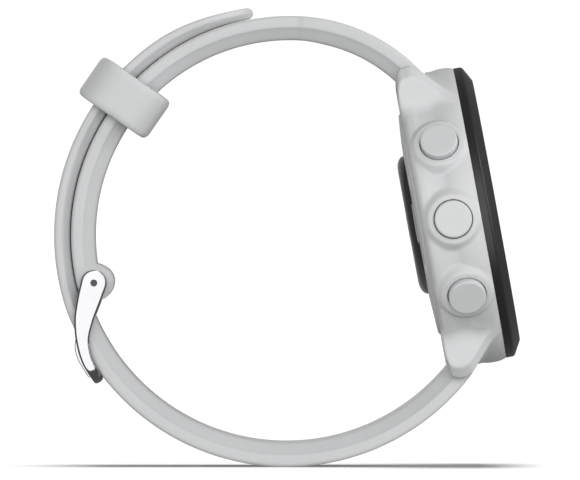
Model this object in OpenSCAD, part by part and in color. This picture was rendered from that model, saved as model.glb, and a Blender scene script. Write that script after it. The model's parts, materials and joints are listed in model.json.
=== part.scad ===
// Round GPS running watch on a buckled silicone band.
// Frame: millimetres, origin at the centre of the wrist loop, +Z up through 12 o'clock,
// +X towards the watch head, +Y from 9 o'clock to 3 o'clock.

/* [Watch head] */
// Outside diameter of the black bezel
case_d = 41.7; // [38:0.1:52]
// Thickness from the lens to the back cover, without the sensor window
case_h = 11.6; // [10:0.1:15]
// Angle by which the display looks up from the horizontal
display_tilt = 10.4; // [0:0.1:20]
// How far the case stands out past the bezel
case_flare = 0.3; // [0.1:0.05:1]
// Case wall at its thinnest, beside the inner cavity
case_wall = 3.25; // [2.6:0.05:4.5]
// Height of the bezel ring
bezel_h = 2.4; // [1.9:0.1:3]
// Width of the bezel's sloping rim
bezel_slope = 2.2; // [1.2:0.1:3]
// Thickness of the display lens
lens_t = 1.2; // [0.8:0.1:1.6]
// Diameter of the heart-rate sensor window on the back
window_d = 19.85; // [16:0.05:22]
// How far the sensor window stands out of the back cover
window_h = 1.1; // [0.5:0.1:2]

/* [Buttons] */
// Diameter of each button cap
button_d = 5.46; // [4:0.02:6.6]
// How far a cap stands out of its boss
button_proud = 0.9; // [0.5:0.05:1.5]
// How far a button goes in when pressed
button_travel = 0.35; // [0.2:0.05:0.5]
// Wall of the raised boss around each button
boss_wall = 0.93; // [0.7:0.01:1.2]
// How far each boss stands out of the bezel's outline
boss_proud = 0.65; // [0.4:0.05:1.2]
// Angle between neighbouring buttons
button_spread = 30.5; // [25:0.5:36]
// Diameter of a button's stem
stem_d = 1.5; // [1.2:0.1:1.8]

/* [Lugs and spring bars] */
// Case wall left between the inner cavity and a strap's end
channel_wall = 0.48; // [0.4:0.02:1.5]
// Distance from the back of the case ring to a spring bar's centre
bar_lift = 2.3; // [1.8:0.1:3]
// Thickness of one lug horn
horn_t = 2.8; // [2:0.1:3.6]
// Outside radius of a lug horn around its spring bar
horn_r = 2.05; // [1.6:0.05:2.6]
// Outside diameter of a spring bar's tube
bar_d = 1.5; // [1.3:0.1:1.8]
// Diameter of a spring bar's end pins
bar_pin_d = 0.9; // [0.7:0.05:1.1]
// How far the release knob slides
release_travel = 1.5; // [1:0.1:2]

/* [Band] */
// Inside radius of the wrist loop along the lower strap
wrist_r = 29.3; // [24:0.1:36]
// Band width at the lugs
band_w = 20; // [18:0.1:24]
// Band width from the keeper to the tip
tail_w = 18; // [16:0.1:20]
// Thickness of the lower strap
band_t = 3.5; // [2.8:0.1:4.5]
// Thickness of the upper strap
upper_t = 3.4; // [2.8:0.1:4.2]
// Thickness of the lower strap's tail where it lies on the upper strap
tail_t = 2.3; // [1.8:0.1:3]
// Inside radius of the upper strap's bend next to the watch head
shoulder_r = 21.65; // [18:0.05:26]
// Radius of the thick end that holds the buckle bar
knuckle_r = 2.65; // [2.2:0.05:3]
// Distance between two adjusting holes
hole_pitch = 6; // [5:0.1:8]
// Length of an adjusting hole along the band
hole_l = 4.4; // [3.6:0.1:5]

/* [Buckle and keeper] */
// Thickness of the buckle's side plates
plate_t = 1.2; // [0.8:0.1:1.6]
// Radius of a side plate around the buckle bar
plate_r = 1.85; // [1.4:0.05:2.2]
// Distance along the band from the buckle bar to the crossbar
buckle_l = 12.4; // [11:0.1:15]
// Diameter of the buckle's crossbar
crossbar_d = 1.3; // [1:0.1:1.8]
// Width of the buckle tongue
tongue_w = 1.9; // [1.5:0.1:2.2]
// Thickness of the buckle tongue
tongue_t = 0.9; // [0.7:0.05:1.2]
// Outside diameter of the buckle bar's tube
buckle_bar_d = 1.2; // [1:0.1:1.5]
// Length of the keeper along the band
keeper_l = 6.5; // [4:0.1:8]
// Thickness of the keeper's walls
keeper_wall = 2.5; // [1.5:0.05:3]

/* [Hidden] */
$fn = 64;
fit_gap = 0.01; // between pieces pressed or glued together
running_gap = 0.05; // around pins that turn or slide
button_gap = 0.1; // between a button cap and its boss
boss_drop = 0.15; // between a boss and the bezel's back edge
strap_gap = 0.2; // between the band and the hard pieces beside it
hole_gap = 0.3; // between the tongue and the hole that it goes through
lap_gap = 0.1; // between the two straps where they overlap
keeper_gap = 0.45; // between the keeper and the straps inside it
bar_inset = 0.25; // spring bars sit this much nearer to the wrist than mid-strap
lap_shift = 0.55; // the upper strap's big arc is centred this far towards the head
lap_inset = 1.7; // and is this much smaller than the lower strap's arc

// What the gaps make of the driving dimensions
lug_gap = band_w + 2 * strap_gap; // clear width between two lug horns
hole_w = tongue_w + 2 * hole_gap;
recess_d = button_d + 2 * button_gap;
boss_d = recess_d + 2 * boss_wall;
bezel_r = case_d / 2;
cavity_r = bezel_r - case_wall;

// Directions of the head in the X-Z plane: out through the lens, and up to 12 o'clock
lens_dir = [cos(display_tilt), sin(display_tilt)];
noon_dir = [-sin(display_tilt), cos(display_tilt)];

// Arcs of the band, each [centre, radius] in the X-Z plane
loop_c = [0, 0];
lap_c = [lap_shift, 0];
upper_in_r = wrist_r - lap_inset;
upper_out_r = upper_in_r + upper_t;
tail_in_r = upper_out_r + lap_gap;
tail_out_r = tail_in_r + tail_t;
shoulder_t = upper_t + 0.14;
shoulder_out_r = shoulder_r + shoulder_t;
shoulder_a = 87.5; // where the shoulder arc meets the big arc
shoulder_c = lap_c + (upper_out_r - shoulder_out_r) * ray(shoulder_a);

// Round ends of the two straps, and the channel in the case that both fit into
lower_end_r = band_t / 2;
upper_end_r = shoulder_t / 2;
channel_r = max(lower_end_r, upper_end_r) + bar_inset + strap_gap;

// Where the spring bars lie: both straps pass through their own bar, bar_span apart
bar_span = 2 * (cavity_r + channel_wall + channel_r);
lower_bar_r = wrist_r + band_t / 2 - bar_inset;
upper_bar_r = shoulder_r + shoulder_t / 2 - bar_inset / 2;
reach = shoulder_c - bar_span * noon_dir;
reach_l = norm(reach);
foot = (pow(lower_bar_r, 2) - pow(upper_bar_r, 2) + pow(reach_l, 2)) / (2 * reach_l);
rise = sqrt(pow(lower_bar_r, 2) - pow(foot, 2));
lower_bar = (foot * reach + rise * [-reach[1], reach[0]]) / reach_l;
upper_bar = lower_bar + bar_span * noon_dir;

// Depths below the lens face, on the head's own axis
ring_back = case_h - 0.7; // back of the case ring
bar_depth = ring_back - bar_lift;
face_c = lower_bar + bar_depth * lens_dir + bar_span / 2 * noon_dir;
gasket_t = 0.15;
ledge_d = lens_t + gasket_t; // bezel ledge that the lens is glued to
display_d = ledge_d + 0.15;
display_t = 1.2;
guide_d = display_d + display_t + 0.05;
guide_t = 0.5;
chassis_d = guide_d + guide_t + 0.05;
chassis_t = 0.8;
board_d = chassis_d + chassis_t + 0.1;
board_t = 0.7;
battery_d = board_d + board_t + 1.3;
battery_back = case_h - 2.3;
sensor_board_d = battery_back + 0.15;
sensor_board_t = 0.5;
cover_d = case_h - 1.4; // inner face of the back cover
cover_edge_d = case_h - 0.4; // back of the cover at its rim
button_d0 = bezel_h + boss_drop + boss_d / 2; // depth of the button axes

// Radii on the head's own axis
case_r = bezel_r + case_flare;
lens_r = bezel_r - bezel_slope - 0.1;
skirt_r = cavity_r - 0.1;
chassis_r = cavity_r - 0.7;
board_r = cavity_r - 1.1;
display_r = cavity_r - 2;
cover_r = cavity_r - 1.7;
ledge_r = cover_r - 1.2;
boss_r = bezel_r + boss_proud;
recess_r = boss_r - 1.4; // floor of the recess behind each cap
window_r = window_d / 2;
plug_r = window_r - 0.45; // the part of the window that goes through the cover
battery_l = 2 * (cavity_r - 5.1); // leaves room for the motor and the buzzer
screw_r = ledge_r - 1;
screw_angles = [27, 153, 207, 333];
post_r = 1.6; // of the posts that take the screws
battery_w = 2 * (screw_r * cos(screw_angles[0]) - post_r - 0.307); // clears the posts
port_v = -(window_r + 2.2); // charging port, below the sensor window
port_w = 9.5;
port_l = 3.4;
left_buttons = [180, 180 - button_spread, 180 + button_spread];
right_buttons = [button_spread, -button_spread];
buttons = concat(left_buttons, right_buttons);
stem_r = stem_d / 2;
stem_in = cavity_r - 1.15; // inner end of a stem
clip_w = cavity_r - 0.1; // outer face of a stem's clip
bush_r = stem_r + 0.45;
switch_out = stem_in - 0.45;

// Band stations, as angles about the arcs' centres
pivot_r = upper_in_r + 0.98; // buckle bar, from the big arc's centre
pivot_a = 193.7;
pivot = lap_c + pivot_r * ray(pivot_a);
knuckle_c = pivot_r - 0.28;
keeper_a = 140.4;
keeper_tilt = 4.9; // the loose keeper sits this much askew
keeper_edge_r = 1; // rounding of the keeper's outer edges
tip_a = 98.5;
upper_taper = [100, 55]; // the upper strap widens between these angles
lower_taper = [225, 300]; // and the lower strap between these
lap_end = pivot_a + deg(5.888 / tail_out_r); // the lower strap starts to rise here
lap_start = pivot_a + deg(2.39 / tail_out_r); // and lies along the upper strap from here on
hole_a = pivot_a + deg(5.771 / tail_out_r); // adjusting hole that the tongue goes through
holes_to_tip = 8;
holes_to_lug = 4;

// Buckle, in distances along the band past the bar and out from the upper strap
pivot_out = pivot_r - upper_out_r;
crossbar_a = pivot_a + deg(buckle_l / upper_out_r);
crossbar_out = wrist_r + band_t - lap_shift * cos(crossbar_a) - upper_out_r
    + 0.13 + crossbar_d / 2;
climb = crossbar_out - pivot_out;
plate_in = tail_w / 2 + strap_gap + 0.1; // inner faces of the side plates
plate_line = [[0, 0], [0.19, 0.26], [0.38, 0.55], [0.58, 0.8], [0.79, 0.95], [1.03, 1]];
plate_half = plate_r * [1, 0.9, 0.74, 0.52, 0.44, 0.43];
tongue_line = [[0, 0], [0.2, 0.16], [0.36, 0.37], [0.47, 0.68], [0.545, 0.88],
    [0.62, 1.01], [0.72, 1.08], [0.82, 1.11], [0.93, 1.13]];
tip_share = 0.28; // of its thickness that the tongue loses towards its tip

// ---- Small helpers -------------------------------------------------------------

function ray(a) = [cos(a), sin(a)];
function deg(x) = x * 180 / PI;
function mix(a, b, t) = a + (b - a) * t;
function clamp01(t) = min(1, max(0, t));
function ease(t) = let(u = clamp01(t)) u * u * (3 - 2 * u);
// Half thickness of a round end of radius r, e in from its tip
function round_end(r, e) = e >= r ? r : sqrt(max(0.0004, r * r - (r - e) * (r - e)));
// Distance from the loop's centre, along angle a, to a circle round the lap's centre
function lap_from_loop(r, a) =
    lap_shift * cos(a) + sqrt(r * r - pow(lap_shift * sin(a), 2));
// Catmull-Rom curve through points, n steps between each two
function curve(p, n) = [for (k = [0 : (len(p) - 1) * n])
    let(i = min(floor(k / n), len(p) - 2), t = k / n - i,
        a = p[max(0, i - 1)], b = p[i], c = p[i + 1], d = p[min(len(p) - 1, i + 2)])
    0.5 * (2 * b + (c - a) * t + (2 * a - 5 * b + 4 * c - d) * t * t
        + (3 * b - 3 * c + d - a) * t * t * t)];
// Outline of a leaf that follows a line of points with a half width at each
function leaf(line, half) = let(n = len(line) - 1,
    side = [for (i = [0 : n])
        let(t = line[min(n, i + 1)] - line[max(0, i - 1)], u = t / norm(t))
        half[i] * [-u[1], u[0]]])
    concat([for (i = [0 : n]) line[i] + side[i]], [for (i = [n : -1 : 0]) line[i] - side[i]]);

// Head frame: local x to 3 o'clock, y to 12 o'clock, z out through the lens
module in_head() {
    translate([face_c[0], 0, face_c[1]])
        rotate([0, -display_tilt, 0])
            rotate([90, 0, 90])
                children();
}

// Something turned about the head's axis, from depth d down to depth e
module disc(r, d, e) {
    translate([0, 0, -e])
        cylinder(r = r, h = e - d);
}

module ring(r_in, r_out, d, e) {
    difference() {
        disc(r_out, d, e);
        disc(r_in, d - 1, e + 1);
    }
}

module block(x, y, w, l, d, e) {
    translate([x - w / 2, y - l / 2, -e])
        cube([w, l, e - d]);
}

// Local z points out of the case side at angle a, from the head's axis
module at_button(a) {
    translate([0, 0, -button_d0])
        rotate([0, 0, a])
            rotate([0, 90, 0])
                children();
}

// An X-Z outline given a thickness along Y
module across(y, t) {
    translate([0, y + t / 2, 0])
        rotate([90, 0, 0])
            linear_extrude(t)
                children();
}

// ---- Watch head: shells --------------------------------------------------------

module case_body() {
    color([0.80, 0.81, 0.82]) in_head() difference() {
        union() {
            difference() {
                case_outside();
                disc(cavity_r, bezel_h - 1, cover_d - 0.8);
                disc(ledge_r, cover_d - 0.9, case_h);
            }
            screw_places()
                disc(post_r, cover_d - 2.7, cover_d - 0.05);
        }
        disc(cover_r + 0.1, cover_d - 0.05, case_h);
        ring(bezel_r - 2.3, bezel_r - 1.4, bezel_h - 1, bezel_h + 0.45);
        ring(ledge_r + 0.2, ledge_r + 0.9, cover_d - 0.45, cover_d);
        for (a = buttons)
            at_button(a)
                button_bore();
        for (end = [-1, 1])
            strap_channel(end);
        screw_places()
            disc(1.1, cover_d - 2.4, cover_d);
    }
}

module case_outside() {
    case_shell();
    for (side = [-1, 1], end = [-1, 1])
        lug_horn(side, end);
    for (a = buttons)
        at_button(a)
            translate([0, 0, cavity_r + 0.3])
                cylinder(d = boss_d, h = boss_r - cavity_r - 0.3);
}

module screw_places() {
    for (a = screw_angles)
        rotate([0, 0, a])
            translate([screw_r, 0, 0])
                children();
}

module case_shell() {
    rotate_extrude($fn = 128)
        polygon([[cavity_r - 1, -bezel_h], [bezel_r, -bezel_h],
            [bezel_r + 0.17, -bezel_h - 0.5], [case_r, -bezel_h - 1.5],
            [case_r, -bezel_h - 2.5], [bezel_r - 0.15, -bezel_h - 4.1],
            [bezel_r - 0.2, -ring_back + 2.6], [bezel_r - 0.05, -ring_back + 1.3],
            [bezel_r - 0.3, -ring_back + 0.5], [bezel_r - 0.9, -ring_back],
            [ledge_r - 1, -ring_back], [ledge_r - 1, -ring_back + 2],
            [cavity_r - 1, -ring_back + 2]]);
}

// One horn, on the 12 (end 1) or 6 o'clock (end -1) side, left or right
module lug_horn(side, end) {
    out = bar_span / 2;
    translate([side * (lug_gap / 2 + horn_t / 2), 0, 0])
        rotate([90, 0, 90])
            translate([0, 0, -horn_t / 2])
                linear_extrude(horn_t) {
                    polygon([[end * (out - 7), -bar_depth + 2.35],
                        [end * (out + 0.5), -bar_depth + 2.35],
                        [end * (out + 1.75), -bar_depth + 1.1],
                        [end * (out + 1.2), -bar_depth - 1.65],
                        [end * (out + 0.2), -ring_back],
                        [end * (out - 7), -ring_back]]);
                    translate([end * out, -bar_depth])
                        circle(horn_r);
                }
}

// Clears the strap's round end, and the space behind and beyond it
module strap_channel(end) {
    out = bar_span / 2;
    translate([0, end * out, -bar_depth])
        rotate([0, 90, 0]) {
            translate([0, 0, -lug_gap / 2])
                cylinder(r = channel_r, h = lug_gap);
            translate([0, 0, -lug_gap / 2 - 1.4])
                cylinder(d = bar_pin_d + 2 * running_gap, h = lug_gap + 2.8);
        }
    beyond = out + 6;
    block(0, end * (out - channel_r + beyond) / 2, lug_gap, beyond - out + channel_r,
        bar_depth, case_h + 1);
    block(0, end * (out + beyond) / 2, lug_gap, beyond - out, bar_depth - channel_r, case_h + 1);
}

module button_bore() {
    translate([0, 0, recess_r])
        cylinder(d = recess_d, h = 5);
    translate([0, 0, cavity_r - 1])
        cylinder(r = bush_r, h = recess_r - cavity_r + 2);
}

module bezel() {
    color([0.10, 0.10, 0.11]) in_head()
        rotate_extrude($fn = 128)
            polygon([[lens_r + 0.05, 0], [lens_r + 0.15, 0], [bezel_r, -1.18],
                [bezel_r, -bezel_h], [skirt_r, -bezel_h], [skirt_r, -bezel_h - 0.8],
                [skirt_r - 0.5, -bezel_h - 0.8], [skirt_r - 0.5, -ledge_d],
                [lens_r + 0.05, -ledge_d]]);
}

module lens() {
    color([0.03, 0.03, 0.04]) in_head()
        disc(lens_r, 0, lens_t);
}

module lens_gasket() {
    color("dimgray") in_head()
        ring(skirt_r - 0.3, lens_r - 0.15, lens_t, ledge_d);
}

module front_seal() {
    color("black") in_head()
        ring(bezel_r - 2.2, bezel_r - 1.5, bezel_h, bezel_h + 0.45);
}

// ---- Watch head: display and electronics ---------------------------------------

module display_panel() {
    color([0.16, 0.18, 0.17]) in_head() {
        disc(display_r, display_d, display_d + display_t);
        block(0, -display_r + 0.1, 8, 1.8, display_d + 0.5, display_d + display_t);
    }
}

module backlight_guide() {
    color("white") in_head()
        disc(display_r - 0.6, guide_d, guide_d + guide_t);
}

module flex_notch(depth_r) {
    translate([-4.5, -depth_r - 1, -board_d - 3])
        cube([9, 1.9, 6]);
}

module board_screw_places() {
    for (a = [60, 180, 300])
        rotate([0, 0, a])
            translate([board_r - 3.2, 0, 0])
                children();
}

module inner_chassis() {
    color("silver") in_head() difference() {
        disc(chassis_r, chassis_d, chassis_d + chassis_t);
        flex_notch(chassis_r);
        board_screw_places()
            translate([0, 0, -board_d])
                cylinder(r = 0.5, h = 3);
    }
}

module main_board() {
    color([0.07, 0.30, 0.16]) in_head() difference() {
        disc(board_r, board_d, board_d + board_t);
        flex_notch(board_r);
        board_screw_places()
            translate([0, 0, -board_d - 2])
                cylinder(r = 0.55, h = 3);
    }
}

module board_chips() {
    d = board_d + board_t;
    color([0.12, 0.12, 0.13]) in_head() {
        block(-6, -5.5, 5, 5, d, d + 0.9);
        block(0.5, -6.5, 4, 3, d, d + 0.8);
        block(6, -4.5, 3, 3, d, d + 0.7);
        block(6.5, 0, 2.2, 2.2, d, d + 0.75);
        block(-7.5, 1, 2, 2.5, d, d + 0.7);
    }
}

module shield_can() {
    d = board_d + board_t;
    color("gainsboro") in_head() difference() {
        block(-0.5, 5, 9, 8, d, d + 1.1);
        block(-0.5, 5, 8.6, 7.6, d - 1, d + 0.9);
    }
}

module board_screws() {
    d = board_d + board_t;
    color("silver") in_head()
        board_screw_places() {
            disc(0.9, d, d + 0.4);
            disc(0.48, board_d - 0.7, d);
        }
}

module battery() {
    r = 2;
    color([0.55, 0.57, 0.60]) in_head()
        translate([0, 0, -battery_back])
            linear_extrude(battery_back - battery_d) {
                square([battery_w, battery_l - 2 * r], center = true);
                square([battery_w - 2 * r, battery_l], center = true);
                for (x = [-1, 1], y = [-1, 1])
                    translate([x * (battery_w / 2 - r), y * (battery_l / 2 - r)])
                        circle(r);
            }
}

module vibration_motor() {
    y = cavity_r - 2.65;
    d = (battery_d + battery_back) / 2;
    color("silver") in_head() {
        translate([-3.9, y, -d])
            rotate([0, 90, 0])
                cylinder(r = 1.6, h = 6);
        translate([2.1, y, -d])
            rotate([0, 90, 0])
                cylinder(r = 0.4, h = 1);
        translate([2.6, y, -d])
            rotate([0, 90, 0])
                intersection() {
                    cylinder(r = 1.5, h = 1.2);
                    translate([-0.4, -2, 0])
                        cube([2, 4, 1.2]);
                }
    }
}

module buzzer() {
    color([0.2, 0.2, 0.2]) in_head()
        difference() {
            block(-4.5, -cavity_r + 3.2, 5, 2.6, battery_d, battery_d + 2);
            translate([-4.5, -cavity_r + 3.2, -battery_d - 2.5])
                cylinder(r = 0.5, h = 1);
        }
}

module gnss_antenna() {
    color("goldenrod") in_head()
        translate([0, 0, -board_d - 1])
            rotate([0, 0, 50])
                rotate_extrude(angle = 80)
                    translate([cavity_r - 0.6, 0])
                        square([0.5, 1.9]);
}

module display_flex() {
    y = -display_r + 0.1;
    top = -(display_d + display_t);
    bottom = -(board_d + board_t);
    color("orange") in_head()
        rotate([90, 0, 90])
            translate([0, 0, -3])
                linear_extrude(6)
                    polygon([[y + 0.3, top], [y - 0.95, top], [y - 0.95, bottom - 0.2],
                        [y + 2, bottom - 0.2], [y + 2, bottom - 0.05],
                        [y - 0.8, bottom - 0.05], [y - 0.8, top - 0.12], [y + 0.3, top - 0.12]]);
}

module sensor_flex() {
    x = battery_w / 2 + 0.3;
    inner = plug_r - 1.875; // on the sensor board
    top = -(board_d + board_t + 0.02);
    bottom = -sensor_board_d + 0.02;
    color("orange") in_head()
        rotate([90, 0, 0])
            translate([0, 0, -2])
                linear_extrude(4)
                    polygon([[x + 1.6, top], [x + 1.6, top - 0.12], [x + 0.12, top - 0.12],
                        [x + 0.12, bottom], [inner, bottom], [inner, bottom + 0.12],
                        [x, bottom + 0.12], [x, top]]);
}

// ---- Watch head: back cover and sensor -----------------------------------------

module rear_cover() {
    color([0.80, 0.81, 0.82]) in_head() difference() {
        rotate_extrude($fn = 128)
            polygon([[plug_r + fit_gap, -cover_d], [cover_r, -cover_d],
                [cover_r, -cover_edge_d + 0.3], [cover_r - 0.35, -cover_edge_d],
                [window_r + 0.1, -case_h], [plug_r + fit_gap, -case_h]]);
        screw_places() {
            disc(0.8, cover_d - 1, case_h);
            disc(1.35, cover_edge_d - 0.45, case_h + 1);
        }
        block(0, port_v, port_w + 2 * fit_gap, port_l + 2 * fit_gap, cover_d - 1, case_h + 1);
    }
}

module rear_seal() {
    color("black") in_head()
        ring(ledge_r + 0.25, ledge_r + 0.85, cover_d - 0.45, cover_d);
}

module rear_screws() {
    seat = cover_edge_d - 0.45;
    color("silver") in_head()
        screw_places()
            difference() {
                union() {
                    disc(1.2, seat, seat + 0.45);
                    disc(0.7, seat - 2.3, seat);
                }
                translate([0, 0, -seat - 1])
                    cylinder(r = 0.55, h = 0.8, $fn = 6);
            }
}

module screw_inserts() {
    color("gold") in_head()
        screw_places()
            ring(0.72, 1.1 - fit_gap, cover_d - 2.35, cover_d - 0.15);
}

module sensor_window() {
    color([0.05, 0.05, 0.06]) in_head() {
        disc(plug_r, sensor_board_d + 1.15, case_h);
        rotate_extrude($fn = 96)
            polygon(concat([[0, -case_h], [window_r, -case_h]],
                [for (a = [10 : 10 : 90])
                    [window_r - 1.9 * (1 - cos(a)), -case_h - window_h * sin(a)]],
                [[0, -case_h - window_h]]));
    }
}

module sensor_board() {
    color([0.07, 0.30, 0.16]) in_head()
        disc(plug_r - 0.5, sensor_board_d, sensor_board_d + sensor_board_t);
}

module sensor_leds() {
    d = sensor_board_d + sensor_board_t;
    color("palegreen") in_head()
        for (y = [-2.2, 0, 2.2])
            block(0, y, 1.6, 1.2, d, d + 0.45);
}

module sensor_photodiodes() {
    d = sensor_board_d + sensor_board_t;
    color([0.15, 0.15, 0.25]) in_head()
        for (x = [-4.6, 4.6])
            block(x, 0, 2.6, 3.4, d, d + 0.4);
}

module light_baffle() {
    d = sensor_board_d + sensor_board_t;
    color("black") in_head()
        for (x = [-2.6, 2.6])
            block(x, 0, 0.4, 8, d, d + 0.6);
}

module charging_insulator() {
    color([0.15, 0.15, 0.16]) in_head() difference() {
        block(0, port_v, port_w, port_l, cover_d - 0.6, cover_edge_d - 0.7);
        charging_pin_places()
            disc(0.46, 0, case_h);
    }
}

module charging_pin_places() {
    for (i = [-1.5 : 1.5])
        translate([i * 2.1, port_v, 0])
            children();
}

module charging_pins() {
    color("gold") in_head()
        charging_pin_places() {
            disc(0.45, cover_d - 0.6, cover_edge_d - 0.45);
            disc(0.65, cover_d - 0.75, cover_d - 0.6);
        }
}

// ---- Buttons -------------------------------------------------------------------

module button(a) {
    color([0.78, 0.79, 0.80]) in_head() at_button(a)
        difference() {
            union() {
                rotate_extrude()
                    polygon([[0, recess_r + 0.5], [button_d / 2, recess_r + 0.5],
                        [button_d / 2, boss_r + button_proud - 0.25],
                        [button_d / 2 - 0.25, boss_r + button_proud],
                        [0, boss_r + button_proud]]);
                translate([0, 0, stem_in])
                    cylinder(r = stem_r, h = recess_r + 1 - stem_in);
            }
            translate([0, 0, clip_w - 0.25])
                difference() {
                    cylinder(r = stem_r + 1, h = 0.25);
                    translate([0, 0, -1])
                        cylinder(r = stem_r - 0.25, h = 3);
                }
        }
}

module clip(a) {
    color("silver") in_head() at_button(a)
        translate([0, 0, clip_w - 0.24])
            difference() {
                cylinder(r = stem_r + 0.7, h = 0.23);
                translate([0, 0, -1])
                    cylinder(r = stem_r - 0.24, h = 3);
                translate([0, -stem_r + 0.3, -1])
                    cube([3, 2 * stem_r - 0.6, 3]);
            }
}

module light_button() button(left_buttons[1]);
module up_button() button(left_buttons[0]);
module down_button() button(left_buttons[2]);
module start_button() button(right_buttons[0]);
module back_button() button(right_buttons[1]);
module light_clip() clip(left_buttons[1]);
module up_clip() clip(left_buttons[0]);
module down_clip() clip(left_buttons[2]);
module start_clip() clip(right_buttons[0]);
module back_clip() clip(right_buttons[1]);

module button_bushes() {
    color("silver") in_head()
        for (a = buttons)
            at_button(a)
                translate([0, 0, cavity_r + 0.15])
                    difference() {
                        cylinder(r = bush_r - fit_gap, h = recess_r - cavity_r - 1.1);
                        translate([0, 0, -1])
                            cylinder(r = stem_r + running_gap, h = 9);
                    }
}

module button_seals() {
    half = (bush_r - stem_r) / 2;
    color([0.1, 0.1, 0.1]) in_head()
        for (a = buttons)
            at_button(a)
                translate([0, 0, recess_r - 0.45])
                    rotate_extrude()
                        translate([stem_r + half, 0])
                            circle(half - fit_gap, $fn = 32);
}

module side_switches() {
    color([0.85, 0.85, 0.82]) in_head()
        for (a = buttons)
            at_button(a)
                difference() {
                    translate([board_d + board_t - button_d0, -1.8, switch_out - 1.1])
                        cube([2.5, 3.6, 1.1]);
                    translate([0, 0, switch_out - 0.5])
                        cylinder(r = 0.92, h = 1);
                }
}

module switch_domes() {
    color("silver") in_head()
        for (a = buttons)
            at_button(a)
                translate([0, 0, switch_out - 0.45])
                    cylinder(r1 = 0.85, r2 = 0.5, h = 0.5);
}

// ---- Straps --------------------------------------------------------------------

// Cross-section of the band, [y, radius] points: the outer half of each edge is
// upright and the inner half slopes in to a narrower face against the wrist
function section(w, ri, ro) =
    let(k = min(1, (ro - ri) / 2),
        side = [[w - 1.3 * k, ri], [w - 0.9 * k, ri + 0.25 * k], [w, mix(ri, ro, 0.5)],
            [w, ro - 0.5 * k], [w - 0.15 * k, ro - 0.15 * k], [w - 0.5 * k, ro]])
    concat(side, [for (i = [5 : -1 : 0]) [-side[i][0], side[i][1]]]);

// One ring of the band at angle a of an arc with centre c
function band_ring(c, a, w, ri, ro) =
    [for (p = section(w, ri, ro)) [c[0] + p[1] * cos(a), p[0], c[1] + p[1] * sin(a)]];

// Closed skin through rings of equal length
module skin(rings) {
    n = len(rings[0]);
    last = len(rings) - 1;
    polyhedron(points = [for (r = rings, p = r) p], convexity = 8,
        faces = concat([[for (j = [0 : n - 1]) j]],
            [[for (j = [n - 1 : -1 : 0]) last * n + j]],
            [for (i = [0 : last - 1], j = [0 : n - 1], half = [0, 1])
                let(k = (j + 1) % n, a = i * n + j, b = (i + 1) * n + j,
                    c = (i + 1) * n + k, d = i * n + k)
                half == 0 ? [a, b, c] : [a, c, d]]));
}

// Angles from a down to b: both ends get closer rings, for their round shape
function ring_angles(a, b, r, end_a, end_b) =
    let(n = ceil((a - b) / 3))
    concat([for (t = [0.02, 0.1, 0.25, 0.5, 0.75, 1]) a - deg(end_a * t / r)],
        [for (i = [1 : n - 1]) mix(a - deg(end_a / r), b + deg(end_b / r), i / n)],
        [for (t = [1, 0.75, 0.5, 0.25, 0.1, 0.02]) b + deg(end_b * t / r)]);

// Upper strap: knuckle, long arc, shoulder and the round end in the 12 o'clock lugs
knuckle_end_a = pivot_a + deg(knuckle_r / pivot_r);
upper_v = upper_bar - shoulder_c;
upper_bar_a = atan2(upper_v[1], upper_v[0]);
upper_end_a = upper_bar_a - deg(upper_end_r / upper_bar_r);

// Half width of a strap at angle a, which widens to the lugs along a taper
function strap_half(a, taper) =
    mix(tail_w / 2, band_w / 2, ease((a - taper[0]) / (taper[1] - taper[0])));

function arc_ring(a) =
    let(s = (a - pivot_a) * PI / 180 * pivot_r,
        bulge = sqrt(max(0.0004, pow(knuckle_r, 2) - s * s)),
        in_bulge = abs(s) < knuckle_r,
        ri = in_bulge ? min(upper_in_r, knuckle_c - bulge) : upper_in_r,
        ro = s > 0 ? min(upper_out_r, knuckle_c + bulge) : upper_out_r)
    band_ring(lap_c, a, tail_w / 2 + (in_bulge ? 0.1 : 0), s > 0 ? knuckle_c - bulge : ri, ro);

function shoulder_ring(a) =
    let(e = (a - upper_end_a) * PI / 180 * upper_bar_r,
        h = e < upper_end_r ? round_end(upper_end_r, e) : wrist_r,
        grow = ease((shoulder_a - a) / 12) * 0.14)
    band_ring(shoulder_c, a, strap_half(a, upper_taper), max(shoulder_r + 0.14 - grow, upper_bar_r - h),
        min(shoulder_out_r, upper_bar_r + h));

module upper_strap() {
    big = ring_angles(knuckle_end_a, shoulder_a, pivot_r, 2 * knuckle_r, 0.01);
    small = ring_angles(shoulder_a - 2, upper_end_a, upper_bar_r, 0.01, upper_end_r);
    color([0.77, 0.78, 0.79]) difference() {
        skin(concat([for (i = [0 : len(big) - 7]) arc_ring(big[i])],
            [for (i = [6 : len(small) - 1]) shoulder_ring(small[i])]));
        bar_bore(upper_bar, bar_d);
        release_slot(upper_bar, upper_bar_a - 90);
        bar_bore(pivot, buckle_bar_d);
        tongue_notch();
    }
}

// Room for the tongue in the middle of the knuckle
module tongue_notch() {
    translate([pivot[0], 0, pivot[1]])
        rotate([0, -pivot_a, 0])
            translate([-2 * knuckle_r, -tongue_w / 2 - strap_gap, -1.8])
                cube([4 * knuckle_r, tongue_w + 2 * strap_gap, 12]);
}

// Lower strap: round end in the 6 o'clock lugs, bottom of the loop, and the tail
lower_bar_a = 360 + atan2(lower_bar[1], lower_bar[0]);
lower_end_a = lower_bar_a + deg(lower_end_r / lower_bar_r);
tip_l = 8; // length of the tip's rounded outline
tip_t = 1.6;

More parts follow.
